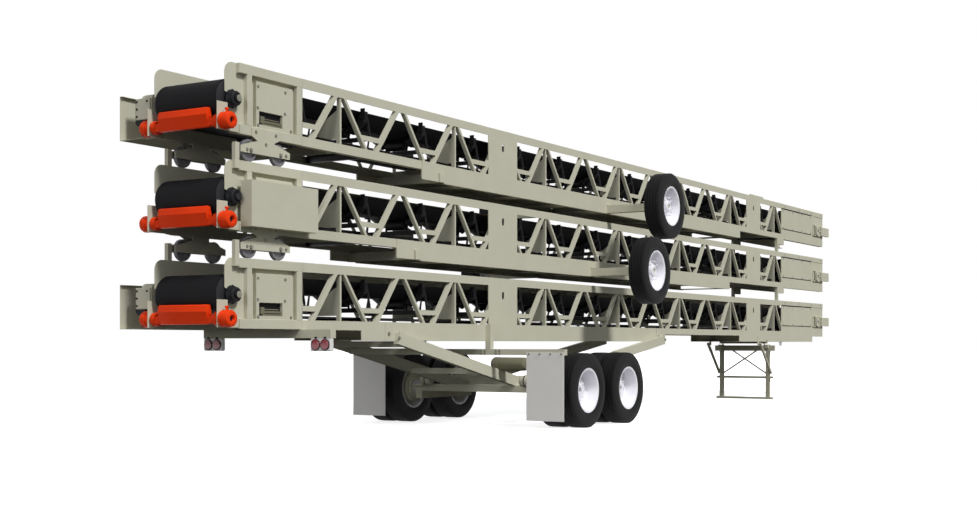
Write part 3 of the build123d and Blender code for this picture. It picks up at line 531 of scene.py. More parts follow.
def extrude_faces(mesh: Mesh, faces: list[bmesh.types.BMFace], y: Pair) -> None:
    """Extrudes upright faces from the low to the high Y.

    Args:
        mesh: The bmesh.
        faces: The faces, which lie at the low Y.
        y: The low and high Y.
    """
    grown = bmesh.ops.extrude_face_region(mesh, geom=faces)
    moved = [item for item in grown["geom"] if isinstance(item, bmesh.types.BMVert)]
    bmesh.ops.translate(mesh, verts=moved, vec=(0, y[1] - y[0], 0))


def framed(mesh: Mesh, xs: list[float], zs: list[float], y: Pair) -> None:
    """Adds an upright plate with a square window.

    Args:
        mesh: The bmesh that receives it.
        xs: Its start, the window's start and end, and its end along X.
        zs: The same four heights.
        y: Its low and high Y.
    """
    made = bmesh.ops.create_grid(mesh, x_segments=3, y_segments=3, size=1.0)
    for vert in made["verts"]:
        column, row = round((vert.co.x + 1) * 1.5), round((vert.co.y + 1) * 1.5)
        vert.co = Vector((xs[column], y[0], zs[row]))
    faces = list({face for vert in made["verts"] for face in vert.link_faces})
    middle = [
        face
        for face in faces
        if xs[1] < face.calc_center_median().x < xs[2] and zs[1] < face.calc_center_median().z < zs[2]
    ]
    bmesh.ops.delete(mesh, geom=middle, context="FACES_ONLY")
    extrude_faces(mesh, [face for face in faces if face not in middle], y)


def outline_plate(mesh: Mesh, points: list[Pair], y: Pair) -> None:
    """Adds an upright plate from its outline.

    Args:
        mesh: The bmesh that receives it.
        points: X and Z of each corner in turn.
        y: Its low and high Y.
    """
    extrude_faces(mesh, [mesh.faces.new([mesh.verts.new((x, y[0], z)) for x, z in points])], y)


def solid_copy(name: str) -> Mesh:
    """Copies a CAD node's mesh with its triangles joined.

    Args:
        name: The node.

    Returns:
        The copy.
    """
    mesh = bmesh.new()
    mesh.from_mesh(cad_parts[name].data)
    bmesh.ops.remove_doubles(mesh, verts=mesh.verts, dist=1e-5)
    return mesh


# ---------------------------------------------------------------- wheels


@dataclass
class RoadWheel:
    """A truck wheel: tyre, dished rim, hub and nuts.

    Attributes:
        radius: Outer radius of the tyre.
        width: Width of the tyre.
        bead: Radius where the tyre meets the rim.
        tread_depth: Depth of the tread grooves.
        groove: Width of a tread groove.
        steps: Steps round the circle.
        nuts: Number of wheel nuts.
        nut_circle: Radius of their circle.
        brake: Distance of the brake drum's inner end from the middle of twin wheels.
    """

    radius: float = 0.507
    width: float = 0.280
    bead: float = 0.292
    tread_depth: float = 0.012
    groove: float = 0.010
    steps: int = 72
    nuts: int = 10
    nut_circle: float = 0.143
    brake: float = 0.318

    def tyre(self, mesh: Mesh, centre: Vector) -> None:
        """Adds one tyre.

        Args:
            mesh: The bmesh that receives it.
            centre: The middle of the tyre on its axle.
        """
        half = self.width / 2
        wall = self.radius - self.bead
        side = [
            (self.bead - 0.006, 0.66 * half), (self.bead + 0.004, 0.84 * half),
            (self.bead + 0.20 * wall, 0.97 * half), (self.bead + 0.45 * wall, half),
            (self.bead + 0.68 * wall, 0.985 * half), (self.bead + 0.80 * wall, 0.94 * half),
            (self.bead + 0.86 * wall, 0.93 * half), (self.bead + 0.94 * wall, 0.86 * half),
            (self.radius - 0.004, 0.80 * half), (self.radius - 0.002, 0.78 * half),
        ]
        tread = []
        floor = self.radius - self.tread_depth
        for share in (0.50, 0.17, -0.17, -0.50):
            middle = share * half
            tread += [
                (self.radius, middle + self.groove / 2), (floor, middle + self.groove / 4),
                (floor, middle - self.groove / 4), (self.radius, middle - self.groove / 2),
            ]
        ring_loop(mesh, side + tread + [(r, -y) for r, y in reversed(side)], centre, self.steps)

    def rim(self, mesh: Mesh, centre: Vector, out: float, dish: float) -> None:
        """Adds one rim with its disc.

        Args:
            mesh: The bmesh that receives it.
            centre: The middle of the tyre on its axle.
            out: Which way the rim's open side faces along Y, one or minus one.
            dish: How deep the disc sits behind the open edge.
        """
        bead = self.bead
        edge = self.width / 2 - 0.018
        disc = edge - dish
        outline = [
            (bead + 0.012, edge), (bead + 0.012, edge - 0.010), (bead - 0.004, edge - 0.014),
            (bead - 0.006, 0.014 - edge), (bead + 0.012, 0.010 - edge), (bead + 0.012, -edge),
            (bead - 0.016, 0.004 - edge), (bead - 0.022, disc - 0.060), (0.205, disc - 0.034),
            (0.150, disc - 0.012), (0.060, disc - 0.010), (0.060, disc), (0.150, disc - 0.002),
            (0.200, disc - 0.022), (bead - 0.050, disc - 0.030), (bead - 0.030, disc + 0.006),
            (bead - 0.022, edge - 0.030), (bead - 0.014, edge - 0.006),
        ]
        ring_loop(mesh, outline, centre, self.steps, out)

    def hub(self, mesh: Mesh, centre: Vector, out: float, start: float, stop: float) -> None:
        """Adds the hub with its cap and low nuts.

        Args:
            mesh: The bmesh that receives it.
            centre: The middle of the wheel on its axle.
            out: Which way the cap faces along Y.
            start: Inner end, counted outwards from the centre.
            stop: Outer end, counted outwards from the centre.
        """
        outline = [
            (0.043, start), (0.110, start), (0.110, stop - 0.060), (0.096, stop - 0.030),
            (0.088, stop - 0.010), (0.070, stop), (0.043, stop - 0.001),
        ]
        ring_loop(mesh, outline, centre, 36, out)
        turn = Matrix.Rotation(pi / 2, 4, "X")
        for spot in circle(centre, self.nut_circle, out * (stop - 0.020), self.nuts, 0.0):
            place = Matrix.Translation(spot) @ turn
            bmesh.ops.create_cone(
                mesh, cap_ends=True, segments=6, radius1=0.013, radius2=0.012, depth=0.030, matrix=place
            )

    def brake_drum(self, mesh: Mesh, centre: Vector, out: float) -> None:
        """Adds the brake drum behind twin wheels, with its bolts.

        Args:
            mesh: The bmesh that receives it.
            centre: The middle of the pair on its axle.
            out: Which way the outside is along Y.
        """
        inner, disc = -self.brake, -0.020
        outline = [
            (0.112, inner), (0.150, inner), (0.156, inner + 0.018), (0.196, inner + 0.022),
            (0.214, inner + 0.030), (0.214, inner + 0.052), (0.205, inner + 0.060), (0.205, disc),
            (0.190, disc), (0.190, inner + 0.060), (0.112, inner + 0.060),
        ]
        ring_loop(mesh, outline, centre, 48, out)
        for spot in circle(centre, 0.133, out * inner, 8):
            bolt(mesh, tuple(spot), Facing.ACROSS, -out, 0.013)

    def build(self, name: str, body: str, centre: Vector, out: float, twin: float, dish: float) -> None:
        """Makes a wheel, or a pair of twin wheels, in place of its CAD node.

        Args:
            name: The CAD node it stands for.
            body: The body it rides on.
            centre: The middle of the node on its axle.
            out: Which way the outside is along Y.
            twin: Distance between two tyres, or zero for one.
            dish: How deep the disc sits in the outer rim.
        """
        spots = [centre + Vector((0, way * twin / 2, 0)) for way in ((out, -out) if twin else (out,))]
        mesh = bmesh.new()
        for spot in spots:
            self.tyre(mesh, spot)
        tyres = finish_piece(f"{name}_tyres", mesh, TYRE, body, smooth=28.0)
        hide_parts(name)
        mesh = bmesh.new()
        for spot, way in zip(spots, (out, -out)):
            self.rim(mesh, spot, way, dish)
        finish_piece(f"{name}_rims", mesh, RIM_WHITE, body, smooth=30.0)
        mesh = bmesh.new()
        start, stop = (-self.brake, 0.152) if twin else (-0.140, 0.078)
        self.hub(mesh, centre, out, start, stop)
        finish_piece(f"{name}_hub", mesh, RIM_WHITE, body, smooth=30.0)
        if twin:
            mesh = bmesh.new()
            self.brake_drum(mesh, centre, out)
            finish_piece(f"{name}_brake_drum", mesh, PAINT, body, smooth=30.0)


# ---------------------------------------------------------------- head ends


@dataclass
class HeadEnd:
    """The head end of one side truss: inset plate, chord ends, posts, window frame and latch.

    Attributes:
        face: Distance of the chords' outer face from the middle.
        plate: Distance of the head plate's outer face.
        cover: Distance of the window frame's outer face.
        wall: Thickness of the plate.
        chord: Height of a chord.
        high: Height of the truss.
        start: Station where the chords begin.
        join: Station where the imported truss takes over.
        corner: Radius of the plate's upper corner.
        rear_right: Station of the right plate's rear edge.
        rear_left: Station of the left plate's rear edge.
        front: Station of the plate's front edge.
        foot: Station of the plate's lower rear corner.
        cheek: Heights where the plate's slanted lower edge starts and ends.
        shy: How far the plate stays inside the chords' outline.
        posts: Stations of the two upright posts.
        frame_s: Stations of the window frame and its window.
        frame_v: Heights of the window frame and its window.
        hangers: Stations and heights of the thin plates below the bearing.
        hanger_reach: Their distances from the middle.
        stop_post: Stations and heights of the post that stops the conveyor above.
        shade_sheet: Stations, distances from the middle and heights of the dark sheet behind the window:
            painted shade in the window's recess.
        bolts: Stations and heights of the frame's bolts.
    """

    face: float = 0.508
    plate: float = 0.456
    cover: float = 0.502
    wall: float = 0.008
    chord: float = 0.105
    high: float = 0.745
    start: float = 0.215
    join: float = 1.236
    corner: float = 0.110
    rear_right: float = 0.045
    rear_left: float = -0.050
    front: float = 1.240
    foot: float = 0.110
    cheek: Pair = (0.430, 0.400)
    shy: float = 0.001
    posts: tuple[Pair, Pair] = ((0.336, 0.412), (1.149, 1.244))
    frame_s: tuple[float, ...] = (0.482, 0.527, 0.910, 1.075)
    frame_v: tuple[float, ...] = (0.100, 0.142, 0.284, 0.596)
    hangers: tuple[tuple[Pair, Pair], ...] = (
        ((-0.113, 0.046), (0.011, 0.300)),
        ((0.045, 0.230), (0.011, 0.100)),
    )
    hanger_reach: Pair = (0.487, 0.496)
    stop_post: tuple[Pair, Pair] = ((0.150, 0.214), (0.655, 0.930))
    shade_sheet: tuple[Pair, Pair, Pair] = ((0.520, 0.920), (0.457, 0.466), (0.130, 0.300))
    bolts: tuple[Pair, ...] = (
        (0.510, 0.544), (0.956, 0.544), (0.505, 0.316), (0.948, 0.310), (0.510, 0.130), (1.050, 0.130)
    )

    def truss(self, level: str, hand: str) -> None:
        """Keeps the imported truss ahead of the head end.

        Args:
            level: The conveyor.
            hand: The side.
        """
        name = f"{level}_truss_{hand}"
        mesh = solid_copy(name)
        cut = bmesh.ops.bisect_plane(
            mesh,
            geom=mesh.verts[:] + mesh.edges[:] + mesh.faces[:],
            plane_co=(station(self.join), 0, 0),
            plane_no=(1, 0, 0),
            clear_inner=True,
        )
        rims = [item for item in cut["geom_cut"] if isinstance(item, bmesh.types.BMEdge)]
        bmesh.ops.holes_fill(mesh, edges=rims, sides=0)
        piece = finish_piece(f"{name}_web", mesh, PAINT)
        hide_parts(name)

    def skin(self, mesh: Mesh, side: float, floor: float, rear: float) -> None:
        """Adds the inset head plate, its upper rear corner rounded.

        Args:
            mesh: The bmesh that receives it.
            side: One for the left, minus one for the right.
            floor: Height of the chord's underside.
            rear: X of its rear edge.
        """
        low, top = floor + self.shy, floor + self.high - self.shy
        front, foot = station(self.front), station(self.foot)
        cheek = [(rear, floor + self.cheek[0]), (foot, floor + self.cheek[1])]
        outline = [(front, low), (front, top), (rear, top), *cheek, (foot, low)]
        outline_plate(mesh, outline, span(side, self.plate - self.wall, self.plate))
        corner = [
            link
            for link in mesh.edges
            if all(abs(vert.co.x - rear) < 1e-4 and vert.co.z > top - 0.009 for vert in link.verts)
        ]
        soften(mesh, corner, self.corner, 8)

    def build(self, level: str, hand: str) -> None:
        """Makes one head end.

        Args:
            level: The conveyor.
            hand: The side.
        """
        self.truss(level, hand)
        side, floor = HANDS[hand], chord(level)
        boxed, upper = (self.plate, self.face), self.high - self.chord
        mesh = bmesh.new()
        for v in ((0.0, self.chord), (upper, self.high)):
            side_box(mesh, floor, side, (self.start, self.join + 0.007), boxed, v, 0.004)
        for s in self.posts:
            side_box(mesh, floor, side, s, boxed, (self.chord - 0.002, upper + 0.002), 0.003)
        self.skin(mesh, side, floor, station(self.rear_right if hand == "right" else self.rear_left))
        frame_x, frame_z = [station(s) for s in self.frame_s], [floor + v for v in self.frame_v]
        framed(mesh, frame_x, frame_z, span(side, self.plate, self.cover))
        for s, v in self.hangers:
            side_box(mesh, floor, side, s, self.hanger_reach, v)
        if level != "top":
            side_box(mesh, floor, side, self.stop_post[0], boxed, self.stop_post[1], 0.003)
        piece = finish_piece(f"{level}_head_end_{hand}", mesh, PAINT)
        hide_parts(f"{level}_truss_{hand}")
        mesh = bmesh.new()
        side_bolts(mesh, floor, side, self.cover, self.bolts)
        finish_piece(f"{level}_head_bolts_{hand}", mesh, ZINC)
        mesh = bmesh.new()
        # A black sheet on the plate behind the window: painted shade in the window's recess.
        side_box(mesh, floor, side, *self.shade_sheet, 0.0)
        finish_piece(f"{level}_window_shade_sheet_{hand}", mesh, BELTING_AND_SHADE)
        self.latch(level, hand)

    @staticmethod
    def latch(level: str, hand: str) -> None:
        """Adds the sliding latch behind the window: a channel, its rod and a lug.

        Args:
            level: The conveyor.
            hand: The side.
        """
        side, floor = HANDS[hand], chord(level)
        mesh = bmesh.new()
        side_box(mesh, floor, side, (0.590, 0.905), (0.467, 0.500), (0.140, 0.162))
        side_box(mesh, floor, side, (0.620, 0.905), (0.467, 0.490), (0.170, 0.196))
        drum(mesh, (station(0.560), side * 0.486, floor + 0.210), Facing.ALONG, 0.300, 0.007, 12)
        side_box(mesh, floor, side, (0.560, 0.625), (0.467, 0.494), (0.162, 0.236))
        # The latch is drawn in the darker enamel: painted shade inside the window.
        finish_piece(f"{level}_latch_{hand}", mesh, PAINT_SHADE)


class Group(Enum):
    """What a face of a packed drive belongs to."""

    KEEP = "keep"
    CASE = "case"
    SLIDES = "slides"
    BEARING = "bearing"
    SHEAVE = "sheave"


@dataclass
class DriveGear:
    """Bearings, gear case, motor, pulleys and sheave cover of one conveyor's drive.

    Attributes:
        shaft: Station of the head shaft.
        rise: Height of the head shaft over the chord.
        back: Distance of the head plate's outer face.
        front: Distance of the bearing's outer face.
        radius: Radius of the bearing housing.
        flange: Radius of the bearing's flange.
        bolt_circle: Radius on which its bolts sit.
        disc: Radius of the new sheave.
        slides: Station ahead of which only take-up blocks lie.
        housing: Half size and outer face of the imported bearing, with some room.
        case: Half size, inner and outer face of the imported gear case, with some room.
        sheave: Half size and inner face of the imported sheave, with some room.
        cover: Stations, distances from the middle and heights of the bolted cover.
        plates: The same of the dark plates below it and on its face.
        cover_bolts: Distances from the middle and heights of the bolts on its rear.
    """

    shaft: float = 0.145
    rise: float = 0.3568
    back: float = 0.456
    front: float = 0.540
    radius: float = 0.078
    flange: float = 0.098
    bolt_circle: float = 0.088
    disc: float = 0.126
    slides: float = 17.0
    housing: Pair = (0.0755, 0.5562)
    case: tuple[float, float, float] = (0.1355, 0.5555, 0.7065)
    sheave: Pair = (0.2, 0.7055)
    cover: tuple[Pair, Pair, Pair] = ((-0.015, 0.135), (0.560, 0.772), (0.215, 0.445))
    plates: tuple[tuple[Pair, Pair, Pair], ...] = (
        ((0.0, 0.110), (0.640, 0.772), (0.155, 0.220)),
        ((0.0, 0.110), (0.768, 0.790), (0.175, 0.430)),
    )
    cover_bolts: tuple[Pair, ...] = ((0.750, 0.410), (0.750, 0.330), (0.750, 0.250), (0.600, 0.410))

    def bearing(self, level: str, hand: str) -> None:
        """Makes a round flange bearing and the shaft's bright end.

        Args:
            level: The conveyor.
            hand: The side.
        """
        side, z = HANDS[hand], chord(level) + self.rise
        mesh = bmesh.new()
        centre = Vector((station(self.shaft), 0, z))
        outline = [
            (0.039, self.back), (self.flange, self.back), (self.flange, self.back + 0.016),
            (0.084, self.back + 0.022), (self.radius, self.back + 0.034),
            (self.radius, self.front - 0.012), (self.radius - 0.012, self.front), (0.052, self.front),
            (0.050, self.front - 0.010), (0.039, self.front - 0.010),
        ]
        ring_loop(mesh, outline, centre, 28, side)
        for spot in circle(centre, self.bolt_circle, side * (self.back + 0.016), 6):
            bolt(mesh, tuple(spot), Facing.ACROSS, side, 0.010)
        piece = finish_piece(f"{level}_head_bearing_{hand}", mesh, CASTING)
        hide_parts(f"{level}_drive")
        if hand == "right" and level != "middle":
            mesh = bmesh.new()
            drum(mesh, (centre.x, side * 0.5645, z), Facing.ACROSS, side * 0.006, 0.036, 24, 0.003)
            drum(mesh, (centre.x, side * 0.570, z), Facing.ACROSS, side * 0.004, 0.012, 6)
            finish_piece(f"{level}_shaft_end", mesh, ZINC)

    def group(self, face: bmesh.types.BMFace, level: str) -> Group:
        """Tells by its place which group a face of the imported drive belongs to.

        Args:
            face: The face.
            level: The conveyor.

        Returns:
            The group.
        """
        x, z = station(self.shaft), chord(level) + self.rise
        off = max(max(abs(vert.co.x - x), abs(vert.co.z - z)) for vert in face.verts)
        across = [abs(vert.co.y) for vert in face.verts]
        if min(vert.co.x for vert in face.verts) > station(self.slides):
            return Group.SLIDES
        if off < self.housing[0] and max(across) < self.housing[1]:
            return Group.BEARING
        if off < self.case[0] and self.case[1] < min(across) and max(across) < self.case[2]:
            return Group.CASE
        if level != "middle" and off < self.sheave[0] and min(across) > self.sheave[1]:
            return Group.SHEAVE
        return Group.KEEP

    def build(self, level: str) -> None:
        """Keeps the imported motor, pulleys, gear case and take-up blocks, and adds new bearings and sheaves.

        Args:
            level: The conveyor.
        """
        name = f"{level}_drive"
        for wanted, finish in ((Group.KEEP, CASTING), (Group.CASE, PAINT), (Group.SLIDES, PAINT)):
            mesh = solid_copy(name)
            gone = [face for face in mesh.faces if self.group(face, level) != wanted]
            bmesh.ops.delete(mesh, geom=gone, context="FACES")
            if not mesh.faces:
                mesh.free()
                continue
            piece = finish_piece(f"{name}_{wanted.value}", mesh, finish)
            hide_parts(name)
        for hand in HANDS:
            self.bearing(level, hand)
        if level != "middle":
            self.gear_cover(level)

    def gear_cover(self, level: str) -> None:
        """Adds the small sheave on the left and the bolted cover that hides it.

        Args:
            level: The conveyor.
        """
        floor, left = chord(level), HANDS["left"]
        mesh, dark = bmesh.new(), bmesh.new()
        side_box(mesh, floor, left, *self.cover, 0.006)
        finish_piece(f"{level}_gear_cover", mesh, PAINT)
        drum(dark, (station(self.shaft), 0.562, floor + self.rise), Facing.ACROSS, 0.190, self.disc, 36, 0.006)
        for plate in self.plates:
            side_box(dark, floor, left, *plate, 0.004)
        for y, v in self.cover_bolts:
            bolt(dark, (station(self.cover[0][0]), y, floor + v), Facing.ALONG, -1.0, 0.009)
        finish_piece(f"{level}_sheave", dark, CASTING)


@dataclass
class BeltCleaner:
    """Orange belt cleaner below a head pulley: blade, arms, tensioners and knobs.

    Attributes:
        place: Station of its tube.
        rise: Height of its tube over the chord.
        cap: Radius of a tensioner.
        inner: Where a tensioner starts beside its plate.
        outer: Where it ends.
        half: Half the blade's width.
        tube: Radius of the tube.
        tube_half: Half its length.
        knob: Distance of a knob from the middle.
        groove: Depth of the groove round a tensioner.
        blade: Stations and heights of the blade's outline.
    """

    place: float = -0.027
    rise: float = 0.103
    cap: float = 0.089
    inner: float = 0.497
    outer: float = 0.628
    half: float = 0.346
    tube: float = 0.036
    tube_half: float = 0.50
    knob: float = 0.545
    groove: float = 0.008
    blade: tuple[Pair, ...] = (
        (-0.046, 0.248), (-0.090, 0.250), (-0.104, 0.240), (-0.118, 0.176), (-0.113, 0.164),
        (-0.080, 0.048), (-0.040, 0.044), (-0.022, 0.070), (-0.030, 0.180),
    )

    def tensioner(self, mesh: Mesh, x: float, z: float, side: float) -> None:
        """Adds the arm and the ribbed tensioner of one side.

        Args:
            mesh: The bmesh that receives them.
            x: Place of the tube.
            z: Height of the tube.
            side: One for the left, minus one for the right.
        """
        cap, inner, outer = self.cap, self.inner, self.outer
        box(mesh, (x - 0.066, x + 0.020), span(side, 0.344, 0.412), (z - 0.052, z + 0.030), 0.010)
        drum(mesh, (x, side * 0.405, z), Facing.ACROSS, side * 0.075, 0.074, 32, 0.010)
        outline = [
            (0.020, inner), (cap - 0.006, inner), (cap, inner + 0.006), (cap, inner + 0.030),
            (cap - self.groove, inner + 0.034), (cap - self.groove, inner + 0.044), (cap, inner + 0.048),
            (cap, outer - 0.024), (cap - 0.008, outer - 0.008), (cap - 0.024, outer), (0.040, outer),
            (0.036, outer - 0.006), (0.030, outer - 0.034), (0.020, outer - 0.034),
        ]
        ring_loop(mesh, outline, Vector((x, 0, z)), 40, side)
        top = z + cap - 0.006
        drum(mesh, (x + 0.004, side * self.knob, top), Facing.UP, 0.034, 0.013, 16)
        drum(mesh, (x + 0.004, side * self.knob, top + 0.030), Facing.UP, 0.020, 0.022, 20, 0.006)

    def build(self, level: str) -> None:
        """Makes one cleaner.

        Args:
            level: The conveyor.
        """
        floor = chord(level)
        x, z = station(self.place), floor + self.rise
        mesh = bmesh.new()
        outline_plate(mesh, [(station(s), floor + v) for s, v in self.blade], (-self.half, self.half))
        rims = [edge for edge in mesh.edges if abs(edge.verts[0].co.y - edge.verts[1].co.y) < 1e-6]
        soften(mesh, rims, 0.006, 2)
        drum(mesh, (x, -self.tube_half, z), Facing.ACROSS, 2 * self.tube_half, self.tube)
        for side in HANDS.values():
            self.tensioner(mesh, x, z, side)
        piece = finish_piece(f"{level}_cleaner", mesh, POLYURETHANE, smooth=30.0)
        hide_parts(f"{level}_belt_cleaner")
        mesh = bmesh.new()
        for side in HANDS.values():
            drum(mesh, (x, side * (self.outer - 0.036), z), Facing.ACROSS, side * 0.004, 0.031)
        finish_piece(f"{level}_cleaner_sockets", mesh, CASTING)


@dataclass
class IdlerBrackets:
    """Upright end brackets of one conveyor's troughing idlers, which rise past the belt's edges.

    Attributes:
        first: Station of the first idler.
        pitch: Distance between idlers.
        count: Number of idlers at that pitch.
        behind: How far behind its idler a bracket stands.
        reach: Its distances from the middle.
        rise: Its heights over the chord.
        stay: Distances from the middle of the stay that joins it to the idler.
        stay_rise: Heights of that stay.
    """

    first: float = 1.320
    pitch: float = 1.220
    count: int = 14
    behind: float = 0.090
    reach: Pair = (0.402, 0.470)
    rise: Pair = (0.460, 0.602)
    stay: Pair = (0.440, 0.446)
    stay_rise: Pair = (0.440, 0.570)

    def build(self, level: str) -> None:
        """Makes the brackets of one conveyor.

        Args:
            level: The conveyor.
        """
        floor = chord(level)
        mesh = bmesh.new()
        for i in range(self.count):
            s = self.first + self.pitch * i - self.behind
            for side in HANDS.values():
                side_box(mesh, floor, side, (s - 0.004, s + 0.004), self.reach, self.rise, 0.003)
                side_box(mesh, floor, side, (s, s + self.behind), self.stay, self.stay_rise)
        finish_piece(f"{level}_idler_brackets", mesh, BELTING_AND_SHADE)


# ---------------------------------------------------------------- tail ends


@dataclass
class TailEnd:
    """Panels, strips of painted shadow, guide rails and bolts at the tail of one conveyor.

    Attributes:
        face: Distance of the chords' outer face from the middle.
        back: How far a piece reaches into that face.
        proud: How far the panels stand out.
        start: Station where the panels begin.
        panel: Station where the web's panel ends.
        strap: Station where the chord's panel steps down.
        stop: Station of the conveyor's end.
        rail: Stations of the take-up's guide rails.
        rail_out: How far the rails stand out.
        shade_strip_out: How far the black strips of painted shadow stand out.
    """

    face: float = 0.508
    back: float = 0.001
    proud: float = 0.007
    start: float = 17.020
    panel: float = 18.955
    strap: float = 19.060
    stop: float = 19.758
    rail: Pair = (19.050, 19.540)
    rail_out: float = 0.022
    shade_strip_out: float = 0.003

    def build(self, level: str) -> None:
        """Adds the raised panels, the guide rails, black strips of painted shadow along the panels' edges, and
        their bolts.

        Args:
            level: The conveyor.
        """
        floor = chord(level)
        mesh, bolts, shade_strips = bmesh.new(), bmesh.new(), bmesh.new()
        web, rail = (self.start, self.panel), self.rail
        inner, outer = self.face - self.back, self.face + self.proud
        for side in HANDS.values():
            side_box(mesh, floor, side, web, (inner, outer), (0.225, 0.628), 0.003)
            side_box(mesh, floor, side, (self.start, self.strap), (inner, outer), (0.652, 0.742), 0.003)
            side_box(mesh, floor, side, (self.strap, self.stop), (inner, outer), (0.640, 0.742), 0.003)
            for s, v in ((rail, (0.432, 0.456)), (rail, (0.207, 0.231)), ((19.040, 19.086), (0.207, 0.456))):
                side_box(mesh, floor, side, s, (inner, self.face + self.rail_out), v, 0.003)
            spots = [(s, v) for s in (17.10, 17.70, 18.30, 18.88) for v in (0.252, 0.600)]
            spots += [(s, 0.697) for s in (17.20, 18.10, 18.96, 19.60)]
            side_bolts(bolts, floor, side, outer, tuple(spots), 0.010)
            # Black strips under each panel and in the gap above it: painted shadow along the panels' edges.
            for v in ((0.212, 0.226), (0.627, 0.653)):
                side_box(shade_strips, floor, side, web, (inner, self.face + self.shade_strip_out), v, 0.0)
        if level == "top":
            side_box(mesh, floor, HANDS["right"], (15.200, 15.900), (0.470, 0.508), (0.744, 0.775))
        finish_piece(f"{level}_tail_panels", mesh, PAINT)
        finish_piece(f"{level}_tail_shade_strips", shade_strips, BELTING_AND_SHADE)
        finish_piece(f"{level}_tail_bolts", bolts, ZINC)


# ---------------------------------------------------------------- running gear details


@dataclass
class BogieDetails:
    """Wheels and bolt heads of one conveyor's head bogies.

    Attributes:
        pins: Stations of the two pins.
        middle: Station of the plates' middle.
        face: Distance of the plates' outer face from the middle.
        radius: Radius of a wheel.
        drop: How far the wheels' lowest point lies below the chord.
        centre: Distance of a wheel's middle.
        bolts: Places of the plates' bolts from their middle and heights over the chord.
    """

    pins: tuple[tuple[str, float], ...] = (("rear", 0.380), ("front", 0.860))
    middle: float = 0.620
    face: float = 0.518
    radius: float = 0.120
    drop: float = 0.2747
    centre: float = 0.468
    bolts: tuple[Pair, ...] = (
        (-0.160, 0.050), (0.160, 0.050), (0.0, -0.066), (-0.300, -0.150), (0.330, -0.150)
    )

    def build(self, level: str) -> None:
        """Makes the wheels and bolts.

        Args:
            level: The conveyor that the bogies carry.
        """
        floor = chord(level)
        rise = self.radius - self.drop
        half = [
            (0.0145, 0.025), (0.032, 0.025), (0.036, 0.013), (0.086, 0.011), (0.092, 0.025),
            (0.115, 0.025), (self.radius, 0.019),
        ]
        outline = half + [(r, -y) for r, y in reversed(half)]
        bolts = bmesh.new()
        for hand, side in HANDS.items():
            spots = tuple((self.middle + s, v) for s, v in self.bolts)
            side_bolts(bolts, floor, side, self.face, spots, 0.013)
            for end, place in self.pins:
                name = f"{level}_bogie_wheel_{end}_{hand}"
                mesh = bmesh.new()
                ring_loop(mesh, outline, Vector((station(place), side * self.centre, floor + rise)), 36, side)
                wheel = finish_piece(f"{name}_steel", mesh, WHEEL_STEEL, name)
                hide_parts(name)
                side_bolts(bolts, floor, side, self.face, ((place, rise),), 0.018)
        finish_piece(f"{level}_bogie_bolts", bolts, ZINC)


@dataclass
class RearLamps:
    """Lamp housings under their beam, each with two round lenses and cable glands.

    Attributes:
        place: Station of the lamps' rear face.
        outer: Distance of a housing's outer end from the middle.
        width: Width of a housing.
        high: Its height.
        deep: Its depth.
        top: Height of its top.
        lens: Radius of a lens.
        shares: Where the lenses sit, as shares of the width.
    """

    place: float = 1.205
    outer: float = 0.930
    width: float = 0.280
    high: float = 0.145
    deep: float = 0.060
    top: float = 1.200
    lens: float = 0.055
    shares: Pair = (0.27, 0.73)

    def build(self) -> None:
        """Makes both lamps."""
        shell, lenses, glands = bmesh.new(), bmesh.new(), bmesh.new()
        x = station(self.place)
        z = self.top - self.high / 2
        for side in HANDS.values():
            across = span(side, self.outer - self.width, self.outer)
            box(shell, (x, x + self.deep), across, (self.top - self.high, self.top), 0.008)
            for share in self.shares:
                y = across[0] + share * self.width
                drum(lenses, (x + 0.004, y, z), Facing.ALONG, -0.020, self.lens, 32, 0.006)
                drum(glands, (x + 0.001, y, z), Facing.ALONG, -0.010, self.lens + 0.009, 32, 0.002)
                drum(glands, (x + self.deep / 2, y, self.top - 0.004), Facing.UP, 0.020, 0.036, 20, 0.006)
        piece = finish_piece("rear_lamp_housings", shell, LAMP_SHELL)
        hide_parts("rear_lamps")
        piece = finish_piece("rear_lamp_lenses", lenses, LENS, smooth=50.0)
        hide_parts("rear_lamps")
        finish_piece("rear_lamp_glands", glands, CASTING)


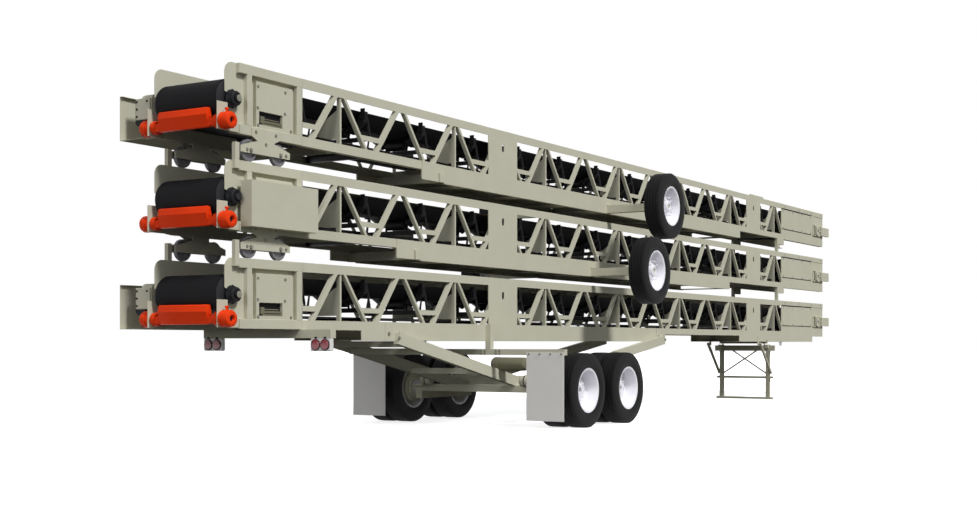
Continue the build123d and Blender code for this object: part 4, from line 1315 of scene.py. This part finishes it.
@dataclass
class AxleGroupDetails:
    """Brake chambers, air tank, mud flaps, stand rods and bolts of the road gear.

    Attributes:
        tank: Station of the air tank.
        tank_height: Height of its middle.
        tank_radius: Its radius.
        chamber: Radius of a brake chamber.
        flap: Station of the flaps' beam.
        flap_reach: Distances of a flap's edges from the middle.
        flap_rise: Heights of its edges.
        arms: Stations of the arms' hinge pins.
        pin: Height of those pins.
        stand: Station of the landing stand.
        member: Station of the cross member above it.
        rods_half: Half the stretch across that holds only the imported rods.
        rods_low: Height above which it does.
        rods_high: Height below which it does.
        stand_half: Half the stand's width.
        member_reach: Distances of the cross member's ends from the middle.
    """

    tank: float = 5.400
    tank_height: float = 0.862
    tank_radius: float = 0.092
    chamber: float = 0.078
    flap: float = 5.120
    flap_reach: Pair = (1.152, 1.718)
    flap_rise: Pair = (0.115, 1.020)
    arms: Pair = (2.980, 10.850)
    pin: float = 1.205
    stand: float = 16.200
    member: float = 16.120
    rods_half: float = 0.42
    rods_low: float = 0.50
    rods_high: float = 0.97
    stand_half: float = 0.600
    member_reach: Pair = (-0.520, 0.520)

    def brakes(self) -> None:
        """Adds the brake chambers, their clamp bands, brackets, cam tubes and levers beside each wheel."""
        mesh, bands = bmesh.new(), bmesh.new()
        z, rise, radius = AXLE_HEIGHT, AXLE_HEIGHT + 0.115, self.chamber
        for place in AXLES.values():
            back, cam = station(place) - 0.150, station(place) - 0.085
            for side in HANDS.values():
                drum(mesh, (back, side * 0.740, rise), Facing.ACROSS, side * 0.165, radius, 28, 0.018)
                drum(bands, (back, side * 0.815, rise), Facing.ACROSS, side * 0.014, radius + 0.006, 28, 0.003)
                side_box(mesh, z, side, (place - 0.160, place + 0.010), (0.895, 0.915), (0.020, 0.160), 0.003)
                drum(mesh, (cam, side * 0.860, z + 0.030), Facing.ACROSS, side * 0.250, 0.022, 16)
                side_box(mesh, z, side, (place - 0.100, place - 0.070), (0.930, 0.955), (0.020, 0.150), 0.006)
        finish_piece("brake_chambers", mesh, PAINT)
        finish_piece("brake_clamp_bands", bands, CASTING)

    def air_tank(self) -> None:
        """Adds the air tank that lies across on the right arm, with its straps."""
        mesh = bmesh.new()
        x, z = station(self.tank), self.tank_height
        drum(mesh, (x, -0.460, z), Facing.ACROSS, -0.540, self.tank_radius, 36, 0.040)
        for y in (-0.530, -0.580):
            drum(mesh, (x, y, z), Facing.ACROSS, 0.028, self.tank_radius + 0.003, 36)
        low = z - self.tank_radius
        box(mesh, (x - 0.060, x + 0.060), (-0.592, -0.520), (low - 0.012, low + 0.014), 0.003)
        # The tank is drawn in the darker enamel: painted shade under the conveyors.
        finish_piece("air_tank", mesh, PAINT_SHADE)

    def flaps(self) -> None:
        """Makes the mud flaps, which hang from the lower part of their beam."""
        mesh = bmesh.new()
        for side in HANDS.values():
            side_box(mesh, 0.0, side, (self.flap - 0.010, self.flap - 0.001), self.flap_reach, self.flap_rise)
        piece = finish_piece("mud_flap_sheets", mesh, FLAP_SHEET)
        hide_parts("mud_flaps")

    def stand_frame(self) -> None:
        """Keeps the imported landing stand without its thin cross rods."""
        mesh = solid_copy("landing_stand")
        rods = []
        for face in mesh.faces:
            middle = face.calc_center_median()
            if abs(middle.y) < self.rods_half and self.rods_low < middle.z < self.rods_high:
                rods.append(face)
        bmesh.ops.delete(mesh, geom=rods, context="FACES")
        bmesh.ops.holes_fill(mesh, edges=[edge for edge in mesh.edges if edge.is_boundary], sides=0)
        # The frame takes the darker enamel: dust and painted shade.
        piece = finish_piece("landing_stand_frame", mesh, PAINT_DUST_AND_SHADE, "landing_stand")
        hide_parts("landing_stand")

    def stand_rods(self) -> None:
        """Gives the landing stand stouter rods, tie bar and foot, and adds the member above it."""
        mesh = bmesh.new()
        x = station(self.stand)
        for side in HANDS.values():
            start = (x + side * 0.013, side * 0.260, 0.992)
            stop = (x + side * 0.013, -side * 0.470, 0.520)
            beam(mesh, start, stop, 0.022, 0.026)
        half = self.stand_half
        box(mesh, (x - 0.022, x + 0.022), (-half, half), (0.424, 0.468))
        box(mesh, (x - 0.060, x + 0.060), (0.001 - half, half - 0.001), (0.002, 0.040), 0.003)
        # Rods, tie bar and foot in the darker enamel: dust and painted shade.
        finish_piece("stand_rods", mesh, PAINT_DUST_AND_SHADE, "landing_stand")
        mesh = bmesh.new()
        x = station(self.member)
        box(mesh, (x - 0.004, x + 0.004), self.member_reach, (1.139, 1.211), 0.001)
        box(mesh, (x - 0.060, x + 0.004), self.member_reach, (1.203, 1.211), 0.001)
        # The member in the darker enamel too: dust and painted shade.
        finish_piece("stand_cross_member", mesh, PAINT_DUST_AND_SHADE)

    def fasteners(self) -> None:
        """Adds the bolts of the flaps and their beam and the arms' hinge pins."""
        mesh = bmesh.new()
        x = station(self.flap)
        for side in HANDS.values():
            for i in range(4):
                bolt(mesh, (x - 0.010, side * (1.190 + i * 0.163), 1.000), Facing.ALONG, -1.0, 0.011)
            for s in self.arms:
                side_bolts(mesh, self.pin, side, 0.594, ((s, 0.0),), 0.018)
                side_bolts(mesh, self.pin, side, 0.518, ((s - 0.110, 0.055), (s + 0.110, 0.055)), 0.018)
            for y in (0.440, 0.500, 0.670, 0.730):
                for z in (1.004, 1.046):
                    bolt(mesh, (x, side * y, z), Facing.ALONG, -1.0, 0.013)
        finish_piece("chassis_fasteners", mesh, ZINC)

    def build(self) -> None:
        """Makes all details of the group."""
        self.brakes()
        self.air_tank()
        self.flaps()
        self.stand_frame()
        self.stand_rods()
        self.fasteners()


# ---------------------------------------------------------------- studio


@dataclass
class Studio:
    """Floor, world, lamps and the camera at the photograph's place.

    Attributes:
        eye: The camera's place.
        heading: Its heading in degrees from +Y towards +X.
        focal_px: Focal length in pixels of the photograph.
        width_px: Width of the photograph in pixels.
        horizon_px: Row of the horizon.
        middle_px: Row of the photograph's middle.
        sensor_mm: Width of the camera's sensor.
        sight: How far the camera sees.
        floor_half: Half the floor's width.
    """

    eye: Point = (-20.465, -10.124, 1.1435)
    heading: float = 58.564
    focal_px: float = 1357.0
    width_px: float = 977.0
    horizon_px: float = 343.3
    middle_px: float = 252.5
    sensor_mm: float = 36.0
    sight: float = 300.0
    floor_half: float = 150.0

    def camera(self) -> None:
        """Sets the camera where the photograph was taken from."""
        data = bpy.data.cameras.new("camera")
        data.sensor_width = self.sensor_mm
        data.lens = self.focal_px / self.width_px * self.sensor_mm
        data.shift_y = (self.horizon_px - self.middle_px) / self.width_px
        data.clip_end = self.sight
        made = bpy.data.objects.new("camera", data)
        made.location = self.eye
        made.rotation_euler = (pi / 2, 0, -radians(self.heading))
        bpy.context.scene.collection.objects.link(made)
        bpy.context.scene.camera = made

    def floor(self) -> None:
        """Lays a wide pale floor that blends into the background."""
        mesh = bmesh.new()
        bmesh.ops.create_grid(mesh, x_segments=1, y_segments=1, size=self.floor_half)
        data = bpy.data.meshes.new("floor")
        mesh.to_mesh(data)
        mesh.free()
        made = bpy.data.objects.new("floor", data)
        bpy.context.scene.collection.objects.link(made)
        made.data.materials.append(self.floor_material())

    def floor_material(self) -> bpy.types.Material:
        """Gives the floor a white that the camera sees, and a grey that lights the object from below.

        Returns:
            The floor's material.
        """
        made = bpy.data.materials.new("matt_white_floor")
        made.use_nodes = True
        tree = made.node_tree
        tree.nodes.clear()
        matt = node(tree, "ShaderNodeBsdfDiffuse", {"Color": linear("#F4F4F2")}).outputs["BSDF"]
        glow = node(tree, "ShaderNodeEmission", {"Color": (1, 1, 1, 1), "Strength": 0.8}).outputs["Emission"]
        bright = node(tree, "ShaderNodeAddShader", {}, {0: matt, 1: glow}).outputs["Shader"]
        quiet = node(tree, "ShaderNodeBsdfDiffuse", {"Color": linear("#5E5E5C")}).outputs["BSDF"]
        self.shown(tree, "ShaderNodeOutputMaterial", quiet, bright)
        return made

    @staticmethod
    def shown(
        tree: bpy.types.NodeTree, kind: str, unseen: bpy.types.NodeSocket, seen: bpy.types.NodeSocket
    ) -> None:
        """Splits what the camera, mirrors and glass see from what only lights the object.

        Args:
            tree: The node tree.
            kind: Type name of the output node.
            unseen: The shader that only lights the object.
            seen: The shader for camera, glossy and transmission rays.
        """
        path = node(tree, "ShaderNodeLightPath")
        share = path.outputs["Is Camera Ray"]
        for ray in ("Is Glossy Ray", "Is Transmission Ray"):
            larger = node(tree, "ShaderNodeMath", {"operation": "MAXIMUM"}, {0: share, 1: path.outputs[ray]})
            share = larger.outputs[0]
        mixed = node(tree, "ShaderNodeMixShader", {}, {0: share, 1: unseen, 2: seen})
        node(tree, kind, {}, {"Surface": mixed.outputs["Shader"]})

    def world(self) -> None:
        """Lights the scene softly and shows white behind it."""
        world = bpy.data.worlds.new("studio")
        bpy.context.scene.world = world
        world.use_nodes = True
        tree = world.node_tree
        tree.nodes.clear()
        soft = node(tree, "ShaderNodeBackground", {"Color": linear("#F2F5FA"), "Strength": 0.30})
        white = node(tree, "ShaderNodeBackground", {"Color": (1, 1, 1, 1), "Strength": 1.0})
        self.shown(tree, "ShaderNodeOutputWorld", soft.outputs["Background"], white.outputs["Background"])

    def lamp(self, name: str, toward: Point, strength: float, angle: float) -> None:
        """Adds one soft sun.

        Args:
            name: The lamp's name.
            toward: The direction its light travels.
            strength: Its strength.
            angle: Its apparent size in degrees.
        """
        data = bpy.data.lights.new(name, "SUN")
        data.energy = strength
        data.angle = radians(angle)
        made = bpy.data.objects.new(name, data)
        made.rotation_euler = Vector(toward).to_track_quat("-Z", "Y").to_euler()
        bpy.context.scene.collection.objects.link(made)

    def build(self) -> None:
        """Makes all of the studio."""
        bpy.context.scene.view_settings.view_transform = "Standard"
        self.camera()
        self.floor()
        self.world()
        self.lamp("key", toward=(0.12, 0.74, -0.82), strength=2.6, angle=10.0)
        self.lamp("fill", toward=(0.95, 0.20, -0.25), strength=0.80, angle=30.0)


# ---------------------------------------------------------------- build


def dress_nodes() -> None:
    """Gives every CAD node its finish, which shows where no new piece replaces the node."""
    finishes = {
        "belt": BELTING_AND_SHADE,
        "belt_cleaner": POLYURETHANE,
        "rollers": ROLL_ENAMEL,
        "drive": CASTING,
        "kingpin": TURNED_STEEL,
        "mud_flaps": FLAP_SHEET,
        "rear_lamps": LENS,
        # The landing stand and its braces take the darker enamel: dust and painted shade.
        "landing_stand": PAINT_DUST_AND_SHADE,
        "stand_brace_right": PAINT_DUST_AND_SHADE,
        "stand_brace_left": PAINT_DUST_AND_SHADE,
    }
    for name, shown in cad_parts.items():
        level, _, rest = name.partition("_")
        part = rest if level in LEVELS else name
        finish = TURNED_STEEL if "bogie_wheel" in name else finishes.get(part, PAINT)
        shown.data.materials.clear()
        shown.data.materials.append(finish.material())
        LOG.info("%s: %s", name, finish.name)


def build_wheels() -> None:
    """Puts detailed wheels in place of the CAD ones."""
    wheel = RoadWheel()
    for hand, side in HANDS.items():
        for end, place in AXLES.items():
            name = f"road_wheels_{end}_{hand}"
            centre = Vector((station(place), side * ROAD_WHEEL_OUT, AXLE_HEIGHT))
            wheel.build(name, name, centre, side, twin=0.320, dish=0.150)
        for level, place in FOLDED_AXLES.items():
            name = f"{level}_wheel_{hand}"
            centre = Vector((station(place), side * FOLDED_WHEEL_OUT, chord(level) - FOLDED_DROP))
            wheel.build(name, name, centre, side, twin=0.0, dish=0.120)


def main() -> None:
    """Builds the scene in order."""
    logging.basicConfig(level=logging.INFO, format="%(name)s: %(message)s")
    Studio().build()
    dress_nodes()
    build_wheels()
    for level in LEVELS:
        for hand in HANDS:
            HeadEnd().build(level, hand)
        DriveGear().build(level)
        BeltCleaner().build(level)
        IdlerBrackets().build(level)
        TailEnd().build(level)
        if level != "bottom":
            BogieDetails().build(level)
    RearLamps().build()
    AxleGroupDetails().build()


if __name__ == "__main__":
    main()
